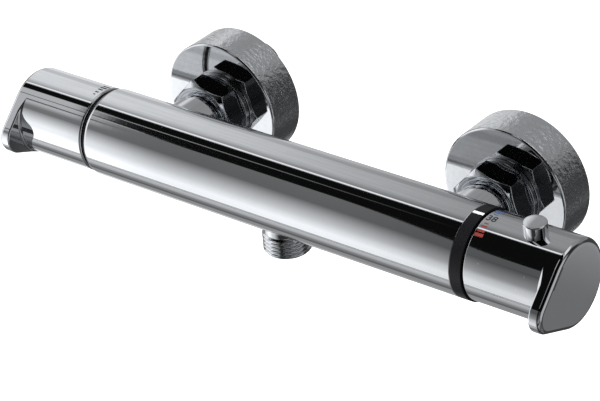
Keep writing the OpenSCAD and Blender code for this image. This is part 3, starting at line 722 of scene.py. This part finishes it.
@dataclass
class GripHandle(Assembly):
    """A cylindrical handle whose end plate runs out into a grip fin, with a small fillet behind it."""

    radius: float = 18.7
    length: float = 41.2
    plate: float = 5.6
    tip_radius: float = 8.0
    tip_centre: float = 19.2
    hollow: float = 1.2
    rim: float = 2.0
    cavity: float = 16.5
    cavity_end: float = 34.2
    hub: float = 8.0
    hub_bore: float = 6.2
    hub_start: float = 13.6
    hub_end: float = 38.2
    edge: float = 0.7
    start_edge: float = 0.8
    hollow_steps: int = 18
    rim_steps: int = 10

    def reach(self, angle: float, inset: float = 0.0) -> float:
        """Gives the outline's distance from the axis.

        Args:
            angle: the direction from the fin's middle, in radians.
            inset: how far inside the outline, in millimetres.

        Returns:
            The distance in millimetres.
        """
        r, tip, away = self.radius - inset, self.tip_radius - inset, self.tip_centre
        slope = acos((r - tip) / away)
        a = abs(remainder(angle, tau))
        if a >= slope:
            return r
        if a >= atan2(tip * sin(slope), away + tip * cos(slope)):
            return r / cos(slope - a)
        return away * cos(a) + sqrt(tip ** 2 - (away * sin(a)) ** 2)

    def column(self, angle: float) -> list[Point]:
        """Gives the handle's profile in one direction from its axis.

        Args:
            angle: the direction from the fin's middle, in radians.

        Returns:
            Points along the axis and away from it, always the same number of them.
        """
        r, f, out = self.radius, self.hollow, self.reach(angle)
        plate_start, rim_start = self.length - self.plate, self.length - self.rim
        hollow_start = plate_start - f
        first_edge = arc((self.start_edge, r - self.start_edge), self.start_edge, 180.0, 90.0, 6)
        points = [(self.hub_end, 0.0), (self.hub_end, self.hub_bore), (self.hub_start, self.hub_bore),
                  (self.hub_start, self.hub), (self.cavity_end, self.hub), (self.cavity_end, self.cavity),
                  (0.0, self.cavity), *first_edge, (10.0, r), (20.0, r), (28.0, r)]
        sweep = acos(max(0.0, 1.0 - (out - r) / f))
        flat = max(0.0, out - r - f)
        turn = min(self.edge * tan(sweep / 2.0), 0.4 * f * sweep)
        last = sweep if flat > turn else max(0.0, sweep - (turn - flat) / f)
        for k in range(self.hollow_steps + 1):
            a = last * k / self.hollow_steps
            points.append((hollow_start + f * sin(a), r + f * (1.0 - cos(a))))
        corner = (hollow_start + f * sin(sweep) if flat == 0.0 else plate_start, out)
        one = (plate_start, out - turn) if flat > turn else points[-1]
        points += bend(one, corner, (corner[0] + turn, out), 4)
        for k in range(self.rim_steps + 1):
            a = pi / 2.0 * k / self.rim_steps
            inset = self.rim * (1.0 - cos(a))
            points.append((rim_start + self.rim * sin(a), self.reach(angle, inset)))
        inside = points[-1][1]
        return [*points, (self.length, 0.9 * inside), (self.length, 0.5 * inside), (self.length, 0.0)]

    def shape(self, name: str, place: Matrix) -> Piece:
        """Builds a handle at its place, with more columns where the fin is.

        Args:
            name: the piece's name.
            place: the matrix of its place, with the fin along its own X axis.

        Returns:
            The handle.
        """
        angles = [0.75 * i for i in range(86)] + [64.5 + 231.0 * i / 110.0 for i in range(1, 110)]
        angles += [360.0 - 0.75 * i for i in range(86, 0, -1)]
        piece = rolled(name, [self.column(radians(a)) for a in angles], angles, place)
        smooth(piece, 40.0)
        return piece


@dataclass
class TemperatureControl(Assembly):
    """The right-hand handle with its scale, and the stop button in it."""

    start: float = 96.1
    button_x: float = 119.8
    button_tilt: float = 5.0
    button_radius: float = 4.9
    button_top: float = 24.4
    button_foot: float = 14.0
    button_pin: float = 1.9
    button_collar: Point = (15.9, 16.7)
    handle_turn: float = -79.0

    def build(self) -> None:
        """Builds the handle and its button."""
        place = placed(Direction.RIGHT, self.start, self.handle_turn)
        piece = GripHandle(self.finishes).shape("temperature_handle", place)
        self.fit(piece, Body.TEMPERATURE, Slot.HANDLE, ["temp_handle"])
        self.build_button()

    def build_button(self) -> None:
        """Builds the stop button, a turned pin with a softly rounded top."""
        upwards = Matrix.Translation((self.button_x, -WALL_TO_AXIS, 0.0)) @ rotation(self.button_tilt, "X")
        foot, pin, r, top = self.button_foot, self.button_pin, self.button_radius, self.button_top
        one, two = self.button_collar
        profile = [(foot, 0.0), (foot, pin), (one, pin), (one, r + 0.9), (two, r + 0.9), (two, r), (19.0, r),
                   *arc((top - 0.9, r - 0.5), 0.5, 90.0, 12.0, 5), (top - 0.2, 3.0), (top - 0.05, 1.5),
                   (top, 0.0)]
        button = turned("stop_button_pin", profile, upwards, 96)
        smooth(button)
        self.fit(button, Body.BUTTON, Slot.HANDLE, ["safety_button"])


@dataclass
class FlowControl(Assembly):
    """The left-hand handle with its flow bars."""

    start: float = -104.15
    handle_turn: float = -101.0

    def build(self) -> None:
        """Builds the handle."""
        place = placed(Direction.LEFT, self.start, self.handle_turn)
        piece = GripHandle(self.finishes).shape("flow_handle_grip", place)
        self.fit(piece, Body.FLOW, Slot.HANDLE, ["flow_handle"])


@dataclass
class Scale(Assembly):
    """The printed marks: bars and a number, each a thin layer on a handle or on the ring."""

    radius: float = 18.7
    ring_radius: float = 19.35
    thick: float = 0.03

    def bar(self, name: str, x: Point, angle: float, width: float, radius: float) -> Piece:
        """Builds one printed bar, curved as the surface under it.

        Args:
            name: the piece's name.
            x: its start and end along the bar.
            angle: its middle, in degrees from the wall over the top.
            width: its width round the handle, in millimetres.
            radius: the radius of the surface under it.

        Returns:
            The bar.
        """
        start_afresh()
        bpy.ops.mesh.primitive_cube_add(size=1.0)
        piece = named(name)
        open_mesh()
        bpy.ops.mesh.bisect(plane_co=(0, 0, 0), plane_no=(0, 1, 0))
        bpy.ops.mesh.select_all(action="SELECT")
        bpy.ops.mesh.subdivide(number_cuts=3)
        bpy.ops.object.mode_set(mode="OBJECT")
        turn = degrees(width / radius)
        start, length = x[0], x[1] - x[0]
        self.wrap(piece, lambda v: (start + (v.x + 0.5) * length, angle - v.y * turn, v.z + 0.5), radius)
        return piece

    def wrap(self, piece: Piece, where: Callable[[Vector], tuple[float, float, float]],
             radius: float) -> None:
        """Bends a flat piece round the bar's axis.

        Args:
            piece: the flat piece.
            where: gives a point's place along the bar, its angle in degrees and its height in the layer.
            radius: the radius of the surface under it.
        """
        for vertex in piece.data.vertices:
            x, angle, height = where(vertex.co)
            a, r = radians(angle), radius - self.thick + 2.0 * self.thick * height
            vertex.co = Vector((x, r * cos(a) - WALL_TO_AXIS, r * sin(a))) * MM
        close_up(piece, 0.001)

    def number(self, name: str, text: str, x: float, angle: float, size: float) -> Piece:
        """Builds a printed number, curved as the handle under it.

        Args:
            name: the piece's name.
            text: the number.
            x: its middle along the bar.
            angle: its middle, in degrees from the wall over the top.
            size: the digits' height in millimetres.

        Returns:
            The number.
        """
        start_afresh()
        bpy.ops.object.text_add()
        letters = bpy.context.active_object.data
        letters.body = text
        letters.align_x = letters.align_y = "CENTER"
        letters.extrude = 0.5
        letters.offset = 0.014
        letters.resolution_u = 6
        bpy.ops.object.convert(target="MESH")
        piece = named(name)
        modifier = piece.modifiers.new("even_faces", "REMESH")
        modifier.mode = "SHARP"
        modifier.octree_depth = 6
        modifier.use_remove_disconnected = False
        bpy.ops.object.modifier_apply(modifier=modifier.name)
        xs, ys, zs = ([vertex.co[i] for vertex in piece.data.vertices] for i in range(3))
        scale = size / (max(ys) - min(ys))
        middle = ((max(xs) + min(xs)) / 2.0, (max(ys) + min(ys)) / 2.0)
        low, high = min(zs), max(zs)
        turn = degrees(1.0 / self.radius)
        self.wrap(piece, lambda v: (x + (v.x - middle[0]) * scale, angle - (v.y - middle[1]) * scale * turn,
                                    (v.z - low) / (high - low)), self.radius)
        return piece

    def build(self) -> None:
        """Builds the marks of both handles and of the ring."""
        index = self.bar("index_mark", (90.7, 95.6), 94.4, 1.5, self.ring_radius)
        self.fit(index, Body.VALVE, None, finish="ink_white")
        digits = self.number("scale_38", "38", 99.55, 94.4, 3.45)
        self.fit(digits, Body.TEMPERATURE, None, finish="ink_dark")
        warm = [(98.1, 100.1, 105.0, 0.55), (97.65, 100.35, 110.0, 0.75), (97.3, 100.65, 117.0, 1.05),
                (97.05, 101.0, 122.9, 1.5)]
        cool = [(98.25, 100.16, 85.3, 0.6), (97.9, 100.5, 79.3, 0.8), (97.6, 100.8, 74.0, 1.2)]
        flow = [(-107.7, -106.6, 98.9, 0.6), (-108.1, -106.25, 93.3, 0.75), (-108.45, -105.9, 86.2, 0.9),
                (-108.8, -105.55, 80.0, 0.95), (-109.15, -105.3, 73.5, 1.0)]
        for label, rows, body, ink in (("warm", warm, Body.TEMPERATURE, "ink_red"),
                                       ("cool", cool, Body.TEMPERATURE, "ink_blue"),
                                       ("flow", flow, Body.FLOW, "ink_dark")):
            for i, (start, end, angle, width) in enumerate(rows):
                piece = self.bar(f"{label}_bar_{i + 1}", (start, end), angle, width, self.radius)
                self.fit(piece, body, None, finish=ink)


@dataclass
class Union(Assembly):
    """One inlet of the valve: tail, union nut, wall connector and rosette."""

    side: int
    label: str
    tail: Point = (25.65, 31.75)
    tail_radius: float = 10.8
    tail_groove: float = 0.75
    flange_radius: float = 12.92
    tail_bore: float = 7.2
    nut_flats: float = 30.0
    nut: Point = (28.6, 39.1)
    nut_turn: float = 12.0
    nut_hole: float = 11.1
    nut_thread: float = 13.3
    nut_lip: float = 1.6
    collar_radius: float = 14.6
    flange: Point = (39.35, 41.55)
    flange_edge: float = 16.5
    front_start: float = 33.85
    thread_radius: float = 13.22
    neck_radius: float = 12.6
    neck_end: float = 50.5
    shank: Point = (47.0, 58.2)
    shank_radius: float = 12.0
    shank_offset: float = 7.5
    wall_thread: float = 10.48
    wall_thread_ends: Point = (58.9, 73.95)
    bore: float = 6.5
    rosette_radius: float = 29.7
    rosette_depth: float = 18.2
    rosette_wall: float = 1.2
    rosette_hole: float = 14.7

    def build(self) -> None:
        """Builds the inlet's pieces, from the bar to the wall."""
        for make, slot, stem in ((self.make_tail, Slot.NUT, "inlet_tail"),
                                 (self.make_nut, Slot.NUT, "union_nut"),
                                 (self.make_connector, Slot.CONNECTOR, "wall_connector"),
                                 (self.make_rosette, Slot.ROSETTE, "rosette")):
            piece = make()
            smooth(piece)
            self.fit(piece, Body.VALVE, slot, [self.name(stem)])

    def name(self, stem: str) -> str:
        """Gives a piece's name on this side."""
        return f"{stem}_{self.label}"

    def place(self) -> Matrix:
        """Gives the place of a piece that lies on this inlet's axis."""
        return placed(Direction.WALL, self.side * INLET_X)

    def make_tail(self) -> Piece:
        """Turns the inlet tail, with a groove on each side of a rounded bead next to the stub.

        Returns:
            The tail.
        """
        start, end = self.tail
        r, rim, groove = self.tail_radius, self.flange_radius, self.tail_radius - self.tail_groove
        bead = arc((26.75, r - 0.55), 0.55, 180.0, 0.0, 10)
        profile = [(start, self.tail_bore), (start, groove), (26.2, groove), *bead[1:-1], (27.3, groove),
                   (27.7, groove), (27.85, r), (30.25, r), (30.25, rim - 0.1), (30.35, rim), (end, rim),
                   (end, self.tail_bore), (start, self.tail_bore)]
        return turned(self.name("inlet_tail_turned"), profile, self.place(), 128)

    def nut_column(self, angle: float) -> list[Point]:
        """Gives the nut's profile in one direction.

        Args:
            angle: the direction from one of its corners, in degrees.

        Returns:
            Points along its axis and away from it, closed.
        """
        within = remainder(angle - 30.0, 60.0)
        flats = [self.nut_flats / 2.0 / cos(radians(within + turn)) for turn in (-60.0, 0.0, 60.0)
                 if abs(within + turn) < 80.0]
        soft = 0.12
        r = -soft * log(sum(exp(-h / soft) for h in flats))
        start, end = self.nut
        face = self.nut_flats / 2.0 - 0.5
        cut = (r - face) * tan(radians(30.0))
        back = 0.7 * cut
        front = softened([(start, face - 1.5), (start, face), (start + cut, r), (end - back, r)], 0.32, 4)
        rest = softened([(start + cut, r), (end - back, r), (end, face), (end, self.nut_thread),
                         (start + self.nut_lip, self.nut_thread), (start + self.nut_lip, self.nut_hole),
                         (start, self.nut_hole), (start, face - 1.5)], 0.2, 3)
        return [*front, *rest]

    def make_nut(self) -> Piece:
        """Builds the union nut, with more columns at its corners.

        Returns:
            The nut.
        """
        near = [0.0, 0.5, 1.0, 1.6, 2.4, 4.0, 7.0, 11.0, 16.0, 23.0]
        sector = near + [30.0] + [60.0 - a for a in reversed(near[1:])]
        angles = [60.0 * i + a for i in range(6) for a in sector]
        place = placed(Direction.WALL, self.side * INLET_X, self.nut_turn)
        return rolled(self.name("hex_nut"), [self.nut_column(a) for a in angles], angles, place)

    def make_connector(self) -> Piece:
        """Returns the wall connector: union thread, collar, neck, and the offset shank with its thread."""
        return joined([self.turned_front(), self.wall_end()])

    def turned_front(self) -> Piece:
        """Turns the connector's front part, which lies on the inlet's axis.

        Returns:
            The front part.
        """
        r = self.thread_radius
        turns = [point for i in range(3) for point in
                 ((34.3 + 1.1 * i, r), (34.75 + 1.1 * i, r - 0.6), (35.1 + 1.1 * i, r))]
        one, two = self.flange
        edge = softened([(one, r - 0.6), (one, self.flange_edge), (two, self.flange_edge),
                         (two, self.collar_radius)], 0.35, 4)
        start, end, collar, neck = self.front_start, self.neck_end, self.collar_radius, self.neck_radius
        profile = [(start, self.bore), (start, r - 0.4), *turns, (37.9, r - 0.6), *edge, (42.6, collar),
                   (43.1, collar - 0.5), (43.1, neck), (end - 0.3, neck), (end, neck - 0.3), (end, 0.0),
                   (end - 1.5, 0.0), (end - 1.5, self.bore), (start, self.bore)]
        return turned(self.name("connector_front"), profile, self.place(), 128)

    def wall_end(self) -> Piece:
        """Builds the connector's wall end, off the inlet's axis, with its pipe thread.

        Returns:
            The wall end.
        """
        place = Matrix.Translation((0.0, 0.0, self.shank_offset)) @ self.place()
        (start, end), r, bore = self.shank, self.shank_radius, self.bore
        head = [(start + 1.5, 0.0), (start, 0.0), (start, r - 0.3), (start + 0.3, r), (end - 0.3, r),
                (end, r - 0.3)]
        tail = [(73.9, bore + 0.2), (73.7, bore), (start + 1.5, bore), (start + 1.5, 0.0)]
        thread = PipeThread(self.wall_thread, *self.wall_thread_ends)
        angles = [3.75 * i for i in range(96)]
        columns = [[*head, *thread.column(a, 8), *tail] for a in angles]
        return rolled(self.name("connector_wall"), columns, angles, place)

    def make_rosette(self) -> Piece:
        """Turns the rosette, a deep shell whose front edge is softly rounded.

        Returns:
            The rosette.
        """
        r, wall, hole = self.rosette_radius, self.rosette_wall, self.rosette_hole
        back, front = WALL_TO_AXIS, WALL_TO_AXIS - self.rosette_depth
        profile = [(back - 0.02, r - wall), (back, r - wall + 0.1), (back, r - 0.15), (back - 0.15, r),
                   (back - 9.0, r), *arc((front + 1.0, r - 1.0), 1.0, 90.0, 180.0, 8), (front, hole + 0.25),
                   (front + 0.07, hole + 0.07), (front + 0.25, hole), (front + wall, hole),
                   (front + wall, r - wall), (back - 0.02, r - wall)]
        return turned(self.name("rosette_shell"), profile, self.place(), 256)


@dataclass(frozen=True)
class PipeThread:
    """A rounded pipe thread of the half-inch size, cut down to nothing at both ends."""

    radius: float
    start: float
    end: float
    pitch: float = 1.814
    depth: float = 1.1
    flatness: float = 1.25

    def column(self, angle: float, rows: int) -> list[Point]:
        """Gives the thread's profile in one direction.

        Args:
            angle: the direction, in degrees.
            rows: the number of points for each turn.

        Returns:
            Points along the axis and away from it.
        """
        count = round((self.end - self.start) / self.pitch * rows)
        points = []
        for k in range(count + 1):
            z = self.start + (self.end - self.start) * k / count
            wave = 0.5 + 0.5 * cos(tau * (z / self.pitch - angle / 360.0))
            crest = min(1.0, wave * self.flatness)
            r = self.radius - self.depth * (1.0 - crest)
            lead = min(1.0, (z - self.start) / 1.0, (self.end - z) / 0.9)
            points.append((z, min(r, self.radius - (1.0 - max(0.0, lead)) * 0.9)))
        return points


@dataclass
class Outlet(Assembly):
    """The hose outlet under the bar: a plain collar and a half-inch thread."""

    x: float = -7.2
    radius: float = 10.48
    neck: float = 10.2
    root: float = 12.0
    start: float = 19.6
    end: float = 29.3
    bore: float = 7.1

    def build(self) -> None:
        """Builds the nipple with its bore."""
        thread = PipeThread(self.radius, self.start + 0.25, self.end)
        root, neck, end, bore = self.root, self.neck, self.end, self.bore
        head = [(root, bore), (root, neck), (19.0, neck), (19.4, neck - 0.1), (19.5, neck - 0.6)]
        tail = [(end, bore + 0.4), (end - 0.3, bore), (root, bore)]
        angles = [3.0 * i for i in range(120)]
        columns = [[*head, *thread.column(a, 10), *tail] for a in angles]
        piece = rolled("hose_nipple", columns, angles, placed(Direction.DOWN, self.x))
        smooth(piece, 50.0)
        self.fit(piece, Body.VALVE, Slot.OUTLET, ["outlet_nipple"])


@dataclass
class InnerWorks(Assembly):
    """The pieces inside the valve, which keep their CAD solids and get a finish each."""

    KINDS: ClassVar[dict[Slot, tuple[str, ...]]] = {
        Slot.RING: ("index_ring", "glide_ring"),
        Slot.BRASS: ("cartridge_sleeve", "overload_cup", "temperature_spindle", "gland_nut",
                     "headwork_housing", "flow_spindle"),
        Slot.RUBBER: ("outlet_o_ring", "union_washer", "rosette_seal", "cartridge_o_rings",
                      "headwork_o_ring"),
        Slot.PLASTIC: ("check_housing", "check_poppet", "stop_ring", "temp_insert", "button_carrier",
                       "regulating_piston", "flow_insert"),
        Slot.CERAMIC: ("fixed_disc", "turning_disc"),
        Slot.COPPER: ("wax_element",),
        Slot.SPRING: ("inlet_strainer", "check_spring", "return_spring", "temp_grub_screw", "button_spring",
                      "overload_spring", "flow_grub_screw", "circlip"),
    }

    def build(self) -> None:
        """Dresses every CAD node by its name without its side. Those that aren't listed are chromed."""
        slots = {kind: slot for slot, kinds in self.KINDS.items() for kind in kinds}
        for name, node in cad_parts.items():
            kind = name.removesuffix("_left").removesuffix("_right")
            self.finishes.dress(node, slots.get(kind, Slot.BODY).value)


# The studio


@dataclass(frozen=True)
class Card:
    """A flat of the studio, seen as a band of directions round the bar.

    start and end are degrees about X, 0 in front, 90 overhead and 180 at the wall. near is the light that it
    gives at its start, far at its end, and soft is the width of its edges in degrees. lean says how much the
    light falls off to the right, from 0 to 1, and slide how far the card's start moves down there.
    """

    start: float
    end: float
    near: float
    far: float
    soft: float = 1.5
    lean: float = 0.0
    slide: float = 0.0


class Sky:
    """The light of the world round the valve, which depends on the direction only.

    x says how far a direction points to the right. angle is its angle about the bar in degrees, from -112 up.
    """

    def __init__(self, nodes: Group) -> None:
        """Finds a direction's x and angle.

        Args:
            nodes: the world's node tree.
        """
        self.tree = tree = Tree(nodes)
        self.ray = tree.node("ShaderNodeTexCoord").outputs["Generated"]
        self.x, y, z = tree.node("ShaderNodeSeparateXYZ", Vector=self.ray).outputs
        angle = tree.times(tree.math("ARCTAN2", z, tree.times(y, -1.0)), 180.0 / pi)
        self.angle = tree.math("WRAP", angle, 248.0, -112.0)

    def across(self, start: float, end: float, low: float = 0.0, high: float = 1.0) -> Socket:
        """Maps x smoothly from the range start to end onto low to high, and returns the output."""
        return self.tree.band(self.x, start, end, low, high)

    def around(self, start: float, end: float, low: float = 0.0, high: float = 1.0) -> Socket:
        """Maps the angle in the same way."""
        return self.tree.band(self.angle, start, end, low, high)

    def sheet(self) -> Socket:
        """Builds the frosted sheet over and behind the valve, and the dark ground low behind it on the right.

        Returns:
            The light's level.
        """
        tree = self.tree
        frost = tree.band(tree.noise(self.ray, 42.0, 5.0, 0.62), 0.3, 0.7, 0.88, 1.12)
        left = tree.times(self.across(-0.66, -0.47, 0.68, 0.27), self.across(-0.80, -0.68, 0.35, 1.0))
        lit = tree.times(tree.plus(left, self.across(-0.42, -0.1, 0.0, -0.03)), frost)
        fade = tree.math("MAXIMUM", self.around(94.0, 116.0, 0.48, 1.0), self.across(-0.2, 0.1))
        glow = tree.times(self.across(-0.05, 0.12, 0.0, 0.45), self.around(118.0, 128.0, 1.0, 0.0))
        back = tree.plus(self.around(150.0, 160.0, 1.0, 0.75), self.around(172.0, 180.0, 0.0, 0.25))
        end = self.across(0.61, 0.70, 1.0, 0.1)
        lit = tree.times(tree.plus(tree.times(lit, fade), glow), end, back)
        low = tree.times(self.around(176.0, 183.0), self.across(-0.38, -0.1))
        ground = tree.times(self.across(0.52, 0.60, 0.045, 0.09), self.across(0.60, 0.68, 1.0, 0.35))
        spot = tree.times(tree.near(self.x, 0.462, 0.045), tree.near(self.angle, 217.3, 4.5))
        ground = tree.mix(spot, ground, self.around(216.0, 218.0, 0.25, 0.15))
        return tree.mix(low, lit, ground)

    def add_card(self, card: Card, room: tuple[Socket, Socket, Socket], level: Socket) -> Socket:
        """Lays one card over the light so far.

        Args:
            card: the card.
            room: the fall of the light, the darkness of the room's sides, and the slide of the cards.
            level: the light so far.

        Returns:
            The light with the card.
        """
        tree, angle, half = self.tree, self.angle, card.soft / 2.0
        fall, side, slide = room
        light = tree.node("ShaderNodeMapRange", Value=angle, From_Min=card.start, From_Max=card.end,
                          To_Min=card.near, To_Max=card.far).outputs[0]
        leaning = tree.plus(tree.times(fall, card.lean), 1.0 - card.lean)
        first = tree.plus(angle, tree.times(slide, card.slide)) if card.slide else angle
        mask = tree.times(tree.band(first, card.start - half, card.start + half),
                          self.around(card.end - half, card.end + half, 1.0, 0.0))
        return tree.mix(mask, level, tree.times(light, leaning, side))

    def add_stripes(self, level: Socket) -> Socket:
        """Adds the thin stripe in the black card, the dark double line, and the pale band far to the left.

        Args:
            level: the light so far.

        Returns:
            The light with the stripes.
        """
        tree, angle = self.tree, self.angle
        stripe = tree.window(angle, (73.0, 74.0), (74.5, 75.5))
        level = tree.plus(level, tree.times(stripe, self.across(-0.5, -0.63, 0.0, 0.3)))
        lines = tree.math("MAXIMUM", tree.near(angle, -57.4, 0.75), tree.near(angle, -61.0, 0.65))
        level = tree.times(level, tree.minus(1.0, tree.times(lines, 0.72)))
        pale = tree.times(tree.window(angle, (32.0, 46.0), (76.0, 78.0)), self.across(-0.622, -0.636))
        gaps = tree.math("MAXIMUM", tree.near(angle, 49.5, 1.6), tree.near(angle, 62.0, 1.0))
        return tree.mix(pale, level, tree.minus(0.44, tree.times(gaps, 0.33)))

    def light(self, cards: Sequence[Card]) -> Socket:
        """Lays all that shines or mirrors dark over one another.

        Args:
            cards: the studio's cards, from the first one laid to the last.

        Returns:
            The light's level.
        """
        tree = self.tree
        # How the light falls off to the right, and how far the cards slide down there
        fall = tree.plus(self.across(-0.48, -0.56, 0.42, 0.87), self.across(-0.60, -0.65, 0.0, 0.7))
        slide = tree.minus(self.across(-0.55, -0.485), self.across(-0.60, -0.625, 0.0, 0.35))
        # The stop button mirrors a few directions at the front right, and they stay dark
        button = tree.near(self.angle, -38.0, 7.0)
        front = tree.times(self.across(0.14, 0.36, 0.0, 0.42), tree.minus(1.0, button))
        side = tree.math("MAXIMUM", self.across(-0.46, 0.05, 1.0, 0.04), front)
        level = self.sheet()
        for card in cards:
            level = self.add_card(card, (fall, side, slide), level)
        level = self.add_stripes(level)
        # A pale patch in the black card, and the pale wall far to the left
        patch = tree.times(tree.window(self.x, (-0.30, -0.22), (-0.08, 0.0)),
                           tree.window(self.angle, (49.0, 54.0), (76.0, 80.0)))
        wall = tree.times(self.across(-0.83, -0.73, 1.0, 0.0),
                          tree.window(self.angle, (-88.0, -70.0), (88.0, 100.0)))
        level = tree.mix(wall, tree.mix(patch, level, 0.42), 0.9)
        return tree.math("MAXIMUM", level, self.across(0.84, 0.93, 0.0, 0.4))


@dataclass
class Studio:
    """The room's light, the floor and the camera."""

    cards: tuple[Card, ...] = (
        Card(-112.0, -91.5, 0.26, 0.26, 4.0),
        Card(-91.5, -84.0, 0.115, 0.115),
        Card(-84.0, -74.0, 0.145, 0.26),
        Card(-74.0, -56.5, 0.36, 0.64, 1.5, 0.2),
        Card(-56.5, -30.0, 1.00, 1.05, 1.5, 0.5),
        Card(-38.0, -2.0, 1.05, 0.46, 10.0, 0.6),
        Card(-14.0, 32.0, 0.68, 0.04, 14.0, 1.0),
        Card(24.0, 57.0, 0.125, 0.14, 2.0, 0.6),
        Card(54.5, 91.5, 0.0035, 0.0035, 1.5, 0.0, 15.0),
        Card(93.0, 96.5, 0.85, 0.85, 1.0),
    )
    cast: Colour = (0.985, 1.0, 1.02)
    strength: float = 1.18
    camera_place: tuple[float, float, float] = (0.587832, -0.745744, 0.528115)
    camera_right: tuple[float, float, float] = (0.787, 0.613, -0.077)
    camera_ahead: tuple[float, float, float] = (-0.56, 0.655, -0.508)
    camera_lens: float = 151.9

    def build(self) -> None:
        """Builds the light, the floor and the camera."""
        self.build_light()
        self.build_lamps()
        self.build_floor()
        self.build_camera()

    def build_light(self) -> None:
        """Builds the world, whose background is white to the camera."""
        world = bpy.data.worlds.new("studio")
        world.use_nodes = True
        bpy.context.scene.world = world
        sky = Sky(world.node_tree)
        tree = sky.tree
        colour = tree.toned(self.cast, sky.light(self.cards))
        camera = tree.node("ShaderNodeLightPath").outputs["Is Camera Ray"]
        seen = tree.node("ShaderNodeMix", {"data_type": "RGBA"}, i0=camera, i6=colour, i7=WHITE)
        tree.put(seen.outputs[2], "Color", "Background")
        world.node_tree.nodes["Background"].inputs["Strength"].default_value = self.strength

    def build_lamps(self) -> None:
        """Builds two soft lamps for what isn't polished. The chrome doesn't mirror them."""
        for name, spot, size, power in (("soft_lamp_above", (-0.3, -0.5, 0.9), 0.8, 14.0),
                                        ("soft_lamp_front", (0.7, -0.9, 0.4), 0.6, 5.0)):
            data = bpy.data.lights.new(name, "AREA")
            data.shape = "DISK"
            data.size = size
            data.energy = power
            lamp = bpy.data.objects.new(name, data)
            lamp.location = spot
            aim = Vector((0.0, -0.06, 0.0)) - Vector(spot)
            lamp.rotation_euler = aim.to_track_quat("-Z", "Y").to_euler()
            lamp.visible_glossy = False
            bpy.context.scene.collection.objects.link(lamp)

    def build_floor(self) -> None:
        """Builds the pale floor, well below the valve."""
        start_afresh()
        bpy.ops.mesh.primitive_plane_add(size=9.0, location=(0.0, 0.0, -0.32))
        floor = named("studio_floor")
        open_mesh()
        bpy.ops.mesh.subdivide(number_cuts=6)
        bpy.ops.object.mode_set(mode="OBJECT")
        bpy.ops.object.transform_apply(location=True)
        material, tree, shader, _ = start_material("floor_white")
        for name, value in (("Base Color", (0.9, 0.9, 0.9, 1.0)), ("Roughness", 0.8),
                            ("Emission Color", WHITE), ("Emission Strength", 0.9)):
            shader[name].default_value = value
        mixed = tree.node("ShaderNodeMixShader",
                          i0=tree.node("ShaderNodeNewGeometry").outputs["Backfacing"],
                          i1=tree.tree.nodes["Principled BSDF"].outputs[0],
                          i2=tree.node("ShaderNodeBsdfTransparent").outputs[0])
        tree.put(mixed.outputs[0], "Surface", "Material Output")
        floor.data.materials.append(material)
        floor.visible_glossy = False
        floor.visible_diffuse = False
        floor.visible_shadow = False

    def build_camera(self) -> None:
        """Builds the camera, which looks at the valve from the right, the front and above."""
        right, back = Vector(self.camera_right), -Vector(self.camera_ahead)
        back.normalize()
        side = (right - back * right.dot(back)).normalized()
        turn = Matrix((side, back.cross(side), back)).transposed()
        data = bpy.data.cameras.new("view")
        data.lens = self.camera_lens
        data.sensor_width = 36.0
        camera = bpy.data.objects.new("view", data)
        camera.matrix_world = Matrix.Translation(self.camera_place) @ turn.to_4x4()
        bpy.context.scene.collection.objects.link(camera)
        bpy.context.scene.camera = camera
        bpy.context.scene.view_settings.view_transform = "Standard"


def main() -> None:
    """Builds the valve from its bar outwards, then the studio."""
    logging.basicConfig(level=logging.INFO, format="%(message)s")
    finishes = Finishes()
    parts: list[Assembly] = [
        InnerWorks(finishes),
        BarBody(finishes),
        TemperatureControl(finishes),
        FlowControl(finishes),
        Scale(finishes),
        Union(finishes, -1, "left"),
        Union(finishes, 1, "right"),
        Outlet(finishes),
    ]
    for part in parts:
        part.build()
    Studio().build()


if __name__ == "__main__":
    main()
